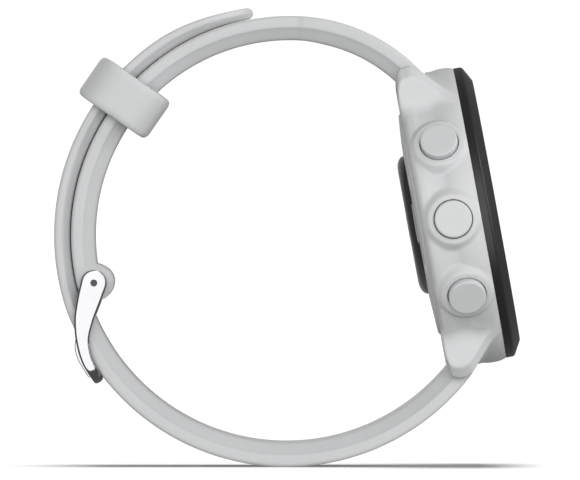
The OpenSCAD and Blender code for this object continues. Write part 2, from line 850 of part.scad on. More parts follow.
function lower_ring(a) =
    let(lap = ease((lap_end - a) / (lap_end - lap_start)),
        in_r = mix(wrist_r, lap_from_loop(tail_in_r, a), lap),
        out_r = mix(wrist_r + band_t, lap_from_loop(tail_out_r, a), lap),
        lug = (lower_end_a - a) * PI / 180 * lower_bar_r,
        tip = (a - tip_a) * PI / 180 * tail_in_r,
        h = lug < lower_end_r ? round_end(lower_end_r, lug) : wrist_r,
        thin = mix(tip_t, tail_t, ease(tip / 14)),
        end_t = tip < tip_t / 2 ? tip_t / 2 - round_end(tip_t / 2, tip) : 0,
        w = strap_half(a, lower_taper),
        tip_w = tip < tip_l ? w * sqrt(1 - 0.9 * pow(1 - tip / tip_l, 2)) : w)
    tip < 20
    ? band_ring(loop_c, a, tip_w, in_r + end_t, in_r + thin - end_t)
    : band_ring(loop_c, a, w, max(in_r, lower_bar_r - h), min(out_r, lower_bar_r + h));

module lower_strap() {
    angles = ring_angles(lower_end_a, tip_a, tail_in_r, lower_end_r, tip_l);
    color([0.77, 0.78, 0.79]) difference() {
        skin([for (a = angles) lower_ring(a)]);
        bar_bore(lower_bar, bar_d);
        release_slot(lower_bar, lower_bar_a - 90);
        for (i = [-holes_to_tip : holes_to_lug])
            adjusting_hole(hole_a + deg(i * hole_pitch / tail_out_r));
    }
}

module adjusting_hole(a) {
    at = lap_c + (wrist_r - 1) * ray(a);
    translate([at[0], 0, at[1]])
        rotate([0, -a, 0])
            rotate([0, 90, 0])
                linear_extrude(8) {
                    square([hole_l - hole_w, hole_w], center = true);
                    for (s = [-1, 1])
                        translate([s * (hole_l - hole_w) / 2, 0])
                            circle(d = hole_w);
                }
}

module bar_bore(at, d) {
    translate([at[0], 0, at[1]])
        rotate([90, 0, 0])
            translate([0, 0, -30])
                cylinder(d = d + 2 * running_gap, h = 60);
}

// Opening on the wrist side of a strap's end for the release knob to slide in
module release_slot(at, turn) {
    translate([at[0], 0, at[1]])
        rotate([0, -turn, 0])
            translate([-1.1, -knob_y - 1.1, -4])
                cube([2.2, 2.2 + release_travel, 4]);
}

// ---- Spring bars ---------------------------------------------------------------

knob_y = lug_gap / 2 - 2.4; // where a release knob rests, on the 9 o'clock side
pin_reach = lug_gap / 2 + 1.2;
tube_end = band_w / 2 - 0.3;

// Local z along +Y, local x away from the wrist
module at_bar(at, turn) {
    translate([at[0], 0, at[1]])
        rotate([0, -turn, 0])
            rotate([-90, 0, 0])
                children();
}

module rod(r, from, to) {
    translate([0, 0, from])
        cylinder(r = r, h = to - from);
}

module bar_tube(at, turn) {
    color("silver") at_bar(at, turn)
        difference() {
            rod(bar_d / 2, -tube_end, tube_end);
            rod(bar_d / 2 - 0.2, -tube_end - 1, tube_end + 1);
            translate([-0.5, 0, -knob_y - 0.5])
                cube([1, 3, release_travel + 1]);
        }
}

module bar_end(at, turn) {
    color("silver") at_bar(at, turn) {
        rod(bar_d / 2 - 0.2 - fit_gap, tube_end - 1.5, tube_end);
        rod(bar_pin_d / 2, tube_end, pin_reach);
    }
}

module bar_spring(at, turn) {
    color("dimgray") at_bar(at, turn)
        difference() {
            rod(bar_d / 2 - 0.3, -knob_y + 0.9, tube_end - 1.55);
            rod(bar_d / 2 - 0.45, -tube_end, tube_end);
        }
}

module release_pin(at, turn) {
    color("silver") at_bar(at, turn) {
        rod(bar_pin_d / 2, -pin_reach, -knob_y + 0.85);
        rotate([-90, 0, 0])
            translate([0, knob_y, 0]) {
                cylinder(r = 0.4, h = 1);
                translate([0, 0, 0.95])
                    cylinder(r = 0.7, h = 0.6);
            }
    }
}

module upper_bar_tube() bar_tube(upper_bar, upper_bar_a - 90);
module upper_bar_end() bar_end(upper_bar, upper_bar_a - 90);
module upper_bar_spring() bar_spring(upper_bar, upper_bar_a - 90);
module upper_release_pin() release_pin(upper_bar, upper_bar_a - 90);
module lower_bar_tube() bar_tube(lower_bar, lower_bar_a - 90);
module lower_bar_end() bar_end(lower_bar, lower_bar_a - 90);
module lower_bar_spring() bar_spring(lower_bar, lower_bar_a - 90);
module lower_release_pin() release_pin(lower_bar, lower_bar_a - 90);

// ---- Buckle --------------------------------------------------------------------

// From [share of the buckle's length, share of its climb] to the X-Z plane
function buckle_pt(p) =
    let(r = pivot_r + p[1] * climb)
    lap_c + r * ray(pivot_a + deg(p[0] * buckle_l / upper_out_r));

module buckle_frame() {
    line = curve([for (p = plate_line) buckle_pt(p)], 4);
    half = curve(plate_half, 4);
    bar = buckle_pt([1, 1]);
    color("whitesmoke") difference() {
        union() {
            for (y = [-1, 1] * (plate_in + plate_t / 2)) {
                across(y, plate_t)
                    polygon(leaf(line, half));
                across(y, plate_t)
                    translate(pivot)
                        circle(plate_r);
            }
            translate([bar[0], plate_in + 0.2, bar[1]])
                rotate([90, 0, 0])
                    cylinder(d = crossbar_d, h = 2 * plate_in + 0.4);
        }
        bar_bore(pivot, bar_pin_d);
    }
}

module buckle_tongue() {
    line = curve([for (p = tongue_line) buckle_pt(p)], 4);
    last = len(line) - 1;
    half = [for (i = [0 : last]) tongue_t / 2 * (1 - tip_share * ease((i - last + 8) / 8))];
    color("gainsboro") difference() {
        union() {
            across(0, tongue_w)
                polygon(leaf(line, half));
            across(0, tongue_w)
                translate(pivot)
                    circle(buckle_bar_d / 2 + 0.65);
        }
        bar_bore(pivot, buckle_bar_d);
    }
}

buckle_pin_reach = plate_in + plate_t - 0.1;

module buckle_bar_tube() {
    color("silver") at_bar(pivot, 0)
        difference() {
            rod(buckle_bar_d / 2, -tail_w / 2, tail_w / 2);
            rod(buckle_bar_d / 2 - 0.12, -tail_w, tail_w);
        }
}

module buckle_bar_pins() {
    color("dimgray") at_bar(pivot, 0)
        for (s = [0, 1])
            mirror([0, 0, s]) {
                rod(buckle_bar_d / 2 - 0.12 - fit_gap, 6.5, tail_w / 2);
                rod(bar_pin_d / 2, tail_w / 2, buckle_pin_reach);
            }
}

module buckle_bar_spring() {
    color("dimgray") at_bar(pivot, 0)
        difference() {
            rod(buckle_bar_d / 2 - 0.18, -6.4, 6.4);
            rod(buckle_bar_d / 2 - 0.3, -9, 9);
        }
}

// ---- Keeper --------------------------------------------------------------------

module keeper() {
    low = upper_in_r - keeper_gap;
    high = tail_out_r + keeper_gap;
    half = tail_w / 2 + keeper_gap;
    color([0.77, 0.78, 0.79]) translate([lap_c[0], 0, lap_c[1]])
        rotate([0, -keeper_a, 0])
            translate([(low + high) / 2, 0, 0])
                rotate([0, -keeper_tilt, 0])
                    translate([-(low + high) / 2, 0, 0])
                        difference() {
                            rounded_bar(low - keeper_wall, high + keeper_wall, keeper_l,
                                keeper_edge_r, 2 * half + 2 * keeper_wall - 0.8);
                            across(0, 2 * half)
                                difference() {
                                    circle(high, $fn = 128);
                                    circle(low, $fn = 128);
                                }
                        }
}

// A bar along Y from x = a to b, l thick along Z, with its long edges rounded
module rounded_bar(a, b, l, r, y) {
    across(0, y) {
        translate([a, -l / 2 + r])
            square([b - a, l - 2 * r]);
        translate([a + r, -l / 2])
            square([b - a - 2 * r, l]);
        for (x = [a + r, b - r], z = [-l / 2 + r, l / 2 - r])
            translate([x, z])
                circle(r);
    }
}

case_body();
bezel();
lens();
lens_gasket();
front_seal();
display_panel();
backlight_guide();
inner_chassis();
main_board();
board_chips();
shield_can();
board_screws();
battery();
vibration_motor();
buzzer();
gnss_antenna();
display_flex();
sensor_flex();
rear_cover();
rear_seal();
rear_screws();
screw_inserts();
sensor_window();
sensor_board();
sensor_leds();
sensor_photodiodes();
light_baffle();
charging_insulator();
charging_pins();
button_bushes();
button_seals();
side_switches();
switch_domes();
light_button();
up_button();
down_button();
start_button();
back_button();
light_clip();
up_clip();
down_clip();
start_clip();
back_clip();
upper_strap();
upper_bar_tube();
upper_bar_end();
upper_bar_spring();
upper_release_pin();
lower_strap();
lower_bar_tube();
lower_bar_end();
lower_bar_spring();
lower_release_pin();
buckle_bar_tube();
buckle_bar_pins();
buckle_bar_spring();
buckle_frame();
buckle_tongue();
keeper();
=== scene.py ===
import json
from math import atan2, pi, radians

import bpy
import numpy as np
from bpy.props import FloatProperty, FloatVectorProperty, PointerProperty
from bpy.types import Operator, Panel, PropertyGroup
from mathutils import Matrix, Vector


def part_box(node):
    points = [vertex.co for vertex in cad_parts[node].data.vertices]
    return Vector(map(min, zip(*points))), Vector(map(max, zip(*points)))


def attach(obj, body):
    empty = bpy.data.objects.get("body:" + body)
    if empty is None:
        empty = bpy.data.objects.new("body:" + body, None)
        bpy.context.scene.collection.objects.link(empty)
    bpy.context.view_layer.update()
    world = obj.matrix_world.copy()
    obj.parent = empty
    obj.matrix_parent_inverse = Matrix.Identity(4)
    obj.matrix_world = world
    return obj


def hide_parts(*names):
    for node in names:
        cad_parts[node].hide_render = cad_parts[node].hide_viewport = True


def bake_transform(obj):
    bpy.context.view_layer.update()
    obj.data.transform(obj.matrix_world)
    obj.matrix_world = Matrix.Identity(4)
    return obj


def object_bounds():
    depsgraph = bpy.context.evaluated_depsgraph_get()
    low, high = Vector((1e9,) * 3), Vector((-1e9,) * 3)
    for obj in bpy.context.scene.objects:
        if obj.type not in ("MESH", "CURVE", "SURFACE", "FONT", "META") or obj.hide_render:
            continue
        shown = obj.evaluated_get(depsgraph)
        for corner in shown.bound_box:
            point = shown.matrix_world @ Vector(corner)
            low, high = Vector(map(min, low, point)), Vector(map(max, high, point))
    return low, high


bl_info = {
    "name": "GPS Running Watch",
    "version": (1, 0, 0),
    "blender": (4, 5, 0),
    "location": "View3D > Sidebar > Watch",
    "description": "Builds a round running watch on a buckled silicone band",
    "category": "Add Mesh",
}

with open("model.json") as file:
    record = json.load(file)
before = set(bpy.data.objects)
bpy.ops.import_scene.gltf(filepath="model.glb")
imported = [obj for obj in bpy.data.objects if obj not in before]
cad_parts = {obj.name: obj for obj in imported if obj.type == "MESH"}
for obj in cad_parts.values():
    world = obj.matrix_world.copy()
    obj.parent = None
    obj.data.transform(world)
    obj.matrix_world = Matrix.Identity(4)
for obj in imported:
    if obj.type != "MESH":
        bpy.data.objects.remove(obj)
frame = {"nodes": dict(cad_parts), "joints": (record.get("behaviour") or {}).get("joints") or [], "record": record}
CAD_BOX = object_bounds()

# ---- Places taken from the frame, in millimetres -------------------------------------

MM = 0.001
JOINTS = {joint["name"]: joint for joint in frame["joints"]}
MOUNTS = {mount["name"]: mount for mount in frame["record"]["mounts"]}


def joint_place(name):
    """Point that a hinge turns about."""
    return np.array(JOINTS[name]["pos_m"]) / MM


LENS = np.array(MOUNTS["lens_face"]["pos_m"]) / MM  # middle of the lens
OUT = np.array(MOUNTS["lens_face"]["axis"])  # out through the lens
RIGHT = np.array([0.0, 1.0, 0.0])  # towards 3 o'clock
NOON = np.cross(OUT, RIGHT)  # towards 12 o'clock
UPPER_BAR = joint_place("band_flex")
BAR_DEPTH = (LENS - UPPER_BAR) @ OUT
BAR_OUT = (UPPER_BAR - LENS) @ NOON
LOWER_BAR = UPPER_BAR - 2 * BAR_OUT * NOON
PIVOT = joint_place("buckle_hinge")
LAP = joint_place("keeper_slide")  # centre of the upper strap's long arc
PIVOT_R = np.linalg.norm(PIVOT - LAP)  # the buckle bar's place about that centre
PIVOT_A = atan2(PIVOT[2] - LAP[2], PIVOT[0] - LAP[0]) % (2 * pi)
BUTTONS = {
    name: atan2(-NOON @ JOINTS[f"{name}_press"]["axis"], -RIGHT @ JOINTS[f"{name}_press"]["axis"])
    for name in ("light", "up", "down", "start", "back")
}

# ---- Sizes and colours that a user would change --------------------------------------


def length(name, description, default):
    """A length property; its default is given in millimetres."""
    return FloatProperty(
        name=name,
        description=description,
        default=default * MM,
        min=0,
        precision=5,
        unit="LENGTH",
    )


def colour(name, description, default):
    return FloatVectorProperty(
        name=name,
        description=description,
        default=default,
        size=3,
        min=0,
        max=1,
        subtype="COLOR",
    )


class WatchHeadSizes(PropertyGroup):
    case_d: length("Case diameter", "Outside diameter of the bezel", 41.7)
    case_h: length("Case height", "From the lens to the back cover's middle", 11.6)
    case_wall: length("Case wall", "Case wall beside the inner cavity", 3.25)
    flare: length("Flare", "How far the case stands out past the bezel", 0.3)
    bezel_h: length("Bezel height", "Height of the bezel ring", 2.4)
    bezel_slope: length("Bezel slope", "Width of the bezel's sloping rim", 2.2)
    lens_t: length("Lens thickness", "Thickness of the display lens", 1.2)
    display_d: length("Display diameter", "Diameter of the part that shows figures", 26.3)
    horn_gap: length("Horn gap", "Clear width between two lug horns", 20.4)
    horn_t: length("Horn thickness", "Thickness of one lug horn", 2.8)
    channel_r: length("Channel radius", "Clearance round a strap's end", 2.22)
    boss_proud: length("Boss height", "How far a boss stands out past the bezel", 0.65)
    boss_drop: length("Boss drop", "Distance from the bezel's back edge to a boss", 0.15)
    boss_d: length("Boss diameter", "Diameter of the boss round a button", 7.6)
    button_d: length("Button diameter", "Diameter of a button's cap", 5.3)
    button_gap: length("Button gap", "Gap between a cap and its boss", 0.1)
    button_proud: length("Button height", "How far a cap stands out of its boss", 0.9)
    stem_d: length("Stem diameter", "Diameter of a button's stem", 1.5)
    window_d: length("Window diameter", "Diameter of the sensor window", 19.85)
    window_h: length("Window height", "How far the window stands out of the cover", 1.1)


class WatchBandSizes(PropertyGroup):
    wrist_r: length("Wrist radius", "Inside radius of the band's loop", 29.3)
    lug_w: length("Width at the lugs", "Band width at the case", 20)
    tail_w: length("Tail width", "Band width from the keeper to the tip", 18)
    lower_t: length("Lower strap", "Thickness of the strap with the holes", 3.5)
    upper_t: length("Upper strap", "Thickness of the strap with the buckle", 3.4)
    tail_t: length("Tail", "Thickness of the tail on the upper strap", 2.3)
    shoulder_r: length("Shoulder radius", "Inside radius of the bend at the case", 21.65)
    knuckle_r: length("Knuckle radius", "Radius of the end that holds the buckle", 2.65)
    hole_pitch: length("Hole pitch", "Distance between two adjusting holes", 6)
    hole_l: length("Hole length", "Length of a hole along the band", 4.4)
    hole_w: length("Hole width", "Width of a hole", 2.5)
    keeper_l: length("Keeper length", "Length of the keeper along the band", 6.5)
    keeper_wall: length("Keeper wall", "Thickness of the keeper's walls", 2.5)


class WatchBuckleSizes(PropertyGroup):
    plate_t: length("Plate thickness", "Thickness of a side plate", 1.2)
    plate_r: length("Plate radius", "Radius of a plate round the buckle bar", 1.85)
    reach: length("Length", "Along the band from the bar to the crossbar", 12.4)
    crossbar_d: length("Crossbar", "Diameter of the crossbar", 1.3)
    tongue_w: length("Tongue width", "Width of the tongue", 1.9)
    tongue_t: length("Tongue thickness", "Thickness of the tongue", 0.9)


class WatchColours(PropertyGroup):
    case: colour("Case", "Moulded case and back cover", (0.52, 0.525, 0.53))
    button: colour("Buttons", "Button caps", (0.51, 0.515, 0.52))
    band: colour("Band", "Silicone straps and keeper", (0.5, 0.505, 0.51))
    bezel: colour("Bezel", "Bezel ring", (0.014, 0.014, 0.015))
    steel: colour("Steel", "Polished buckle", (0.25, 0.25, 0.255))
    glass: colour("Glass", "Sensor window", (0.012, 0.012, 0.015))
    screen: colour("Screen", "Display behind the figures", (0.3, 0.33, 0.3))
    figures: colour("Figures", "Figures on the display", (0.012, 0.014, 0.014))


GROUPS = {
    "watch_head": WatchHeadSizes,
    "watch_band": WatchBandSizes,
    "watch_buckle": WatchBuckleSizes,
    "watch_colours": WatchColours,
}


class Millimetres:
    """Reads the lengths of a property group in millimetres."""

    def __init__(self, group):
        self.group = group

    def __getattr__(self, name):
        return getattr(self.group, name) / MM


def head_sizes():
    return Millimetres(bpy.context.scene.watch_head)


def band_sizes():
    return Millimetres(bpy.context.scene.watch_band)


def buckle_sizes():
    return Millimetres(bpy.context.scene.watch_buckle)


# ---- Curves and surfaces -------------------------------------------------------------


def mix(a, b, t):
    return a + (b - a) * t


def ease(t):
    """Smooth step from 0 to 1: three t squared less two t cubed, held at both ends."""
    t = np.clip(t, 0, 1)
    return t * t * (3 - 2 * t)


def smooth_max(a, b, k):
    """The larger of a and b, with a fillet about k wide where they cross."""
    h = np.clip(0.5 + (a - b) / (2 * k), 0, 1)
    return mix(b, a, h) + k * h * (1 - h)


def smooth_min(a, b, k):
    return -smooth_max(-a, -b, k)


def beyond(x, k):
    """Zero for negative x and x for positive x, with a bend about k wide between."""
    return (np.sqrt(x * x + k * k) + x) / 2


def through(x, knots):
    """Height at x of a cubic through each two knots, level with the chord at each knot."""
    xs, ys = np.array(knots, float).T
    slopes = np.gradient(ys, xs)
    i = np.clip(np.searchsorted(xs, x) - 1, 0, len(xs) - 2)
    width = xs[i + 1] - xs[i]
    t = np.clip((x - xs[i]) / width, 0, 1)
    rise = t * t * (3 - 2 * t)
    bend_a = t * (1 - t) ** 2 * width * slopes[i]
    bend_b = t * t * (1 - t) * width * slopes[i + 1]
    return mix(ys[i], ys[i + 1], rise) + bend_a - bend_b


def curve_through(points, steps):
    """Points of a Catmull-Rom curve through the given ones, steps between each two."""
    p = np.array(points, float)
    padded = np.concatenate([2 * p[:1] - p[1:2], p, 2 * p[-1:] - p[-2:-1]])
    t = np.arange(steps)[:, None] / steps
    a, b, c, d = (padded[i : len(p) - 1 + i, None] for i in range(4))
    curve = 2 * b + (c - a) * t + (2 * a - 5 * b + 4 * c - d) * t**2
    curve = (curve + (3 * b - 3 * c + d - a) * t**3) / 2
    return np.concatenate([curve.reshape(-1, p.shape[1]), p[-1:]])


def rounded(corners, steps=6):
    """Outline with each corner (x, y, r) cut back by r and joined by a parabola there.

    Corners are an array whose last axis is x, y and r, so that many outlines, one for
    each leading index, are rounded at once. The outline is closed.
    """
    c = np.asarray(corners, float)
    at, r = c[..., :2], c[..., 2:]
    before, after = np.roll(at, 1, -2) - at, np.roll(at, -1, -2) - at
    reach_b = np.linalg.norm(before, axis=-1, keepdims=True) + 1e-9
    reach_a = np.linalg.norm(after, axis=-1, keepdims=True) + 1e-9
    start = at + before / reach_b * np.minimum(r, reach_b * 0.49)
    end = at + after / reach_a * np.minimum(r, reach_a * 0.49)
    t = np.linspace(0, 1, steps)[:, None]
    start, at, end = start[..., None, :], at[..., None, :], end[..., None, :]
    arcs = (1 - t) ** 2 * start + 2 * t * (1 - t) * at + t**2 * end
    return arcs.reshape(*c.shape[:-2], -1, 2)


def round_end(r, e):
    """Half thickness of a round end of radius r, at a distance e in from its tip."""
    return np.sqrt(np.maximum(r * r - (r - np.minimum(e, r)) ** 2, 0.0004))


def distances(total, end_a, end_b, step):
    """Places along a band total long, bunched like a circle's over its two round ends."""
    bunch = 1 - np.cos(np.linspace(0.06, pi / 2, 14))
    count = int((total - end_a - end_b) / step)
    middle = np.linspace(end_a, total - end_b, count + 2)[1:-1]
    return np.concatenate([bunch * end_a, middle, total - bunch[::-1] * end_b])


def ray(angle):
    """Unit vectors at angles in the X-Z plane."""
    return np.stack([np.cos(angle), np.zeros_like(angle), np.sin(angle)], -1)


def head_point(x, v, d):
    """Points x towards 3 o'clock, v towards 12 o'clock and d deep below the lens."""
    x, v, d = np.broadcast_arrays(x, v, d)
    return LENS + x[..., None] * RIGHT + v[..., None] * NOON - d[..., None] * OUT


def polar_point(r, angle, d):
    """Points at radius r and angle about the head's axis, d deep below the lens."""
    return head_point(r * np.cos(angle), r * np.sin(angle), d)


def turned(profile, segments, at=(0.0, 0.0)):
    """Rings of a (radius, depth) profile turned about the head's axis, or about at."""
    r, d = np.array(profile, float).T
    angle = np.arange(segments) * 2 * pi / segments
    x = at[0] + r[:, None] * np.cos(angle)
    v = at[1] + r[:, None] * np.sin(angle)
    return head_point(x, v, d[:, None])


def button_depth(sizes):
    """Depth of the buttons' axes below the lens."""
    return sizes.bezel_h + sizes.boss_drop + sizes.boss_d / 2


def boss_reach(sizes):
    """Distance from the head's axis to the faces of the bosses."""
    return sizes.case_d / 2 + sizes.boss_proud


def cavity_radius(sizes):
    """Radius of the space inside the case."""
    return sizes.case_d / 2 - sizes.case_wall


def rim_depth(sizes):
    """Depth of the case's back rim, which the back cover's middle stands out of."""
    return sizes.case_h - 0.7


def button_turned(profile, segments, angle):
    """Rings of a (radius, distance out) profile turned about a button's axis."""
    sizes = head_sizes()
    r, w = np.array(profile, float).T
    turn = np.arange(segments) * 2 * pi / segments
    side = r[:, None] * np.cos(turn)
    depth = button_depth(sizes) + r[:, None] * np.sin(turn)
    w = w[:, None]
    return head_point(
        w * np.cos(angle) - side * np.sin(angle),
        w * np.sin(angle) + side * np.cos(angle),
        depth,
    )


class Shape:
    """Closed skins gathered into one mesh, each a grid whose columns close on themselves."""

    def __init__(self):
        self.points = []
        self.faces = []
        self.count = 0

    def add(self, grid, loop=False):
        """Adds a grid of rings. A loop's last ring joins its first; else both are capped
        by a fan to the ring's middle. The faces are turned to point outwards."""
        rows, columns = grid.shape[:2]
        i = np.arange(rows if loop else rows - 1)[:, None]
        j = np.arange(columns)
        k, m = (i + 1) % rows, (j + 1) % columns
        points = grid.reshape(-1, 3)
        quads = np.stack(
            [i * columns + j, k * columns + j, k * columns + m, i * columns + m], -1
        ).reshape(-1, 4)
        fans = np.zeros((0, 3), int)
        if not loop:
            middles = grid[[0, -1]].mean(1)
            last = (rows - 1) * columns
            first_fan = np.stack([j, m, np.full(columns, len(points))], -1)
            last_fan = np.stack([last + m, last + j, np.full(columns, len(points) + 1)], -1)
            fans = np.concatenate([first_fan, last_fan])
            points = np.concatenate([points, middles])
        triangles = np.concatenate([quads[:, [0, 1, 2]], quads[:, [0, 2, 3]], fans])
        a, b, c = (points[triangles[:, n]] - points[0] for n in range(3))
        if np.einsum("ij,ij->", a, np.cross(b, c)) < 0:
            quads, fans = quads[:, ::-1], fans[:, ::-1]
        self.faces += (quads + self.count).tolist() + (fans + self.count).tolist()
        self.points.append(points)
        self.count += len(points)
        return self

    def object(self, name):
        mesh = bpy.data.meshes.new(name)
        mesh.from_pydata(np.concatenate(self.points) * MM, [], self.faces)
        made = bpy.data.objects.new(name, mesh)
        bpy.context.scene.collection.objects.link(made)
        return made


def combine(piece, shape, operation="DIFFERENCE"):
    """Cuts a shape out of a piece or joins it on, and keeps the result as its mesh."""
    tool = shape.object(piece.name + "_tool")
    modifier = piece.modifiers.new("combine", "BOOLEAN")
    modifier.operation = operation
    modifier.solver = "MANIFOLD"
    modifier.object = tool
    bpy.context.view_layer.update()
    before = piece.data
    evaluated = piece.evaluated_get(bpy.context.evaluated_depsgraph_get())
    mesh = bpy.data.meshes.new_from_object(evaluated)
    if len(mesh.polygons) == 0:
        raise RuntimeError(f"{piece.name} was left empty by a cut")
    piece.modifiers.clear()
    piece.data = mesh
    bpy.data.meshes.remove(before)
    bpy.data.objects.remove(tool)


def finish_piece(piece, material, body, replaced=(), sharp=40):
    """Shades a piece, gives it its material and slot, and puts it on its body."""
    piece.data.name = piece.name
    piece.data.materials.clear()
    piece.data.materials.append(material)
    piece.data.shade_smooth()
    piece.data.set_sharp_from_angle(angle=radians(sharp))
    if replaced:
        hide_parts(*replaced)
    if body:
        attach(piece, body)
    return piece


# ---- Materials -----------------------------------------------------------------------


class Value:
    """A shader value. Its operators add the Math nodes that work the result out."""

    def __init__(self, nodes, socket):
        self.nodes = nodes
        self.socket = socket

    def maths(self, operation, *values):
        settings = {"operation": operation}
        return self.nodes.add("ShaderNodeMath", settings, dict(enumerate(values)))

    def __add__(self, other):
        return self.maths("ADD", self, other)

    __radd__ = __add__

    def __sub__(self, other):
        return self.maths("SUBTRACT", self, other)

    def __rsub__(self, other):
        return self.maths("SUBTRACT", other, self)

    def __mul__(self, other):
        return self.maths("MULTIPLY", self, other)

    __rmul__ = __mul__

    def __truediv__(self, other):
        return self.maths("DIVIDE", self, other)

    def __pow__(self, other):
        return self.maths("POWER", self, other)

    def __gt__(self, other):
        return self.maths("GREATER_THAN", self, other)

    def __abs__(self):
        return self.maths("ABSOLUTE", self)

    def wave(self):
        return self.maths("SINE", self)

    def step(self, low, high):
        """0 below low, 1 above high and smooth between."""
        limits = {"Value": self, "From Min": low, "From Max": high}
        return self.nodes.add("ShaderNodeMapRange", {"interpolation_type": "SMOOTHSTEP"}, limits)


class Nodes:
    """A shader's node tree."""

    def __init__(self, tree):
        self.tree = tree

    def add(self, kind, settings=None, inputs=None, output=0):
        """Adds a node: its settings first, then the values or links of its sockets."""
        node = self.tree.nodes.new(kind)
        for setting, value in (settings or {}).items():
            setattr(node, setting, value)
        for socket, value in (inputs or {}).items():
            if isinstance(value, Value):
                self.tree.links.new(value.socket, node.inputs[socket])
            else:
                node.inputs[socket].default_value = value
        return Value(self, node.outputs[output])


class Finish(Nodes):
    """A procedural material round one Principled shader, on Object coordinates in metres."""

    def __init__(self, name, **constants):
        self.material = bpy.data.materials.new(name)
        self.material.use_nodes = True
        super().__init__(self.material.node_tree)
        self.shader = self.tree.nodes["Principled BSDF"]
        for socket, value in constants.items():
            self.shader.inputs[socket.replace("_", " ")].default_value = value
        self.place = self.add("ShaderNodeTexCoord", output="Object")

    def noise(self, size, detail=2.0, stretch=(1.0, 1.0, 1.0), turn=(0.0, 0.0, 0.0)):
        """Noise whose grains are about size millimetres across, divided by stretch."""
        mapping = {"Vector": self.place, "Scale": stretch, "Rotation": turn}
        place = self.add("ShaderNodeMapping", {}, mapping)
        inputs = {"Vector": place, "Scale": 1 / (size * MM), "Detail": detail}
        return self.add("ShaderNodeTexNoise", {}, inputs)

    def cells(self, size, feature="F1"):
        """Distance to the nearest of points scattered about size millimetres apart."""
        inputs = {"Vector": self.place, "Scale": 1 / (size * MM)}
        return self.add("ShaderNodeTexVoronoi", {"feature": feature}, inputs, "Distance")

    def blend(self, factor, a, b):
        """Colour that goes from a to b as factor goes from 0 to 1."""
        a, b = (x if isinstance(x, Value) else (*x, 1.0) for x in (a, b))
        settings = {"data_type": "RGBA", "clamp_factor": True}
        return self.add("ShaderNodeMix", settings, {0: factor, 6: a, 7: b}, 2)

    def along(self, direction):
        """Distance in millimetres along a direction from the frame's origin."""
        inputs = {0: self.place, 1: tuple(direction)}
        return self.add("ShaderNodeVectorMath", {"operation": "DOT_PRODUCT"}, inputs, 1) / MM

    def from_head_axis(self):
        """Distance in millimetres from the head's axis."""
        x, v = self.head_axes()
        return (x * x + v * v) ** 0.5

    def head_axes(self):
        """Distances in millimetres towards 3 and 12 o'clock from the head's axis."""
        return self.along(RIGHT), self.along(NOON) - float(LENS @ NOON)

    def paint(self, socket, value):
        self.tree.links.new(value.socket, self.shader.inputs[socket])
        return self

    def bump(self, height, depth):
        """Relief from height, which goes from 0 to 1 over depth millimetres."""
        inputs = {"Strength": 1.0, "Distance": depth * MM, "Height": height}
        return self.paint("Normal", self.add("ShaderNodeBump", {}, inputs))


def shade(rgb, factor):
    return tuple(float(np.clip(c * factor, 0, 1)) for c in rgb)


MATERIALS = {}


def material(maker):
    """The material that a function makes, made once and named after the function."""
    if maker not in MATERIALS:
        MATERIALS[maker] = maker(maker.__name__).material
    return MATERIALS[maker]


def colours():
    return bpy.context.scene.watch_colours


def silicone(name):
    """Soft matt silicone: a fine moulded grain, faint cloudiness and a little dust."""
    f = Finish(name, Roughness=0.6, Sheen_Weight=0.12, Sheen_Roughness=0.5, Specular_IOR_Level=0.35)
    base = colours().band
    cloud = f.noise(6.0, 3)
    dust = f.noise(0.35, 1).step(0.68, 0.78)
    rubber = f.blend(cloud, shade(base, 0.965), shade(base, 1.03))
    f.paint("Base Color", f.blend(dust * 0.25, rubber, shade(base, 1.16)))
    f.paint("Roughness", 0.52 + 0.14 * cloud + 0.08 * dust)
    return f.bump(f.noise(0.09, 2) * 0.7 + f.noise(0.4, 2) * 0.5, 0.012)


def case_polymer(name):
    """Fibre-filled polymer with a fine spark-eroded grain and pale glass flecks."""
    f = Finish(name, Roughness=0.5, Specular_IOR_Level=0.45)
    base = colours().case
    cloud = f.noise(4.0, 3)
    fleck = f.noise(0.16, 1, (1, 1, 0.35)).step(0.66, 0.74)
    polymer = f.blend(cloud, shade(base, 0.975), shade(base, 1.02))
    f.paint("Base Color", f.blend(fleck * 0.3, polymer, shade(base, 1.12)))
    f.paint("Roughness", 0.42 + 0.12 * cloud)
    return f.bump(f.cells(0.11) * 0.6 + f.noise(0.2, 3) * 0.6, 0.009)


def button_polymer(name):
    """Satin cap: finer grain than the case, with a faintly cloudy tone."""
    f = Finish(name, Roughness=0.4, Specular_IOR_Level=0.5)
    base = colours().button
    cloud = f.noise(1.6, 3)
    f.paint("Base Color", f.blend(cloud, shade(base, 0.97), shade(base, 1.03)))
    f.paint("Roughness", 0.34 + 0.14 * cloud)
    return f.bump(f.noise(0.08, 2), 0.006)


def bezel_black(name):
    """Black satin rim with fine turning marks round the head's axis and worn edges."""
    f = Finish(name, Roughness=0.4, Specular_IOR_Level=0.3)
    base = colours().bezel
    marks = (f.from_head_axis() * 60 + f.noise(1.5, 2) * 3).wave() * 0.5 + 0.5
    rub = f.noise(1.2, 4).step(0.6, 0.8)
    f.paint("Base Color", f.blend(rub * 0.35, base, shade(base, 2.6)))
    f.paint("Roughness", 0.36 + 0.05 * marks + 0.12 * rub)
    return f.bump(marks * 0.3 + f.noise(0.1, 2), 0.005)


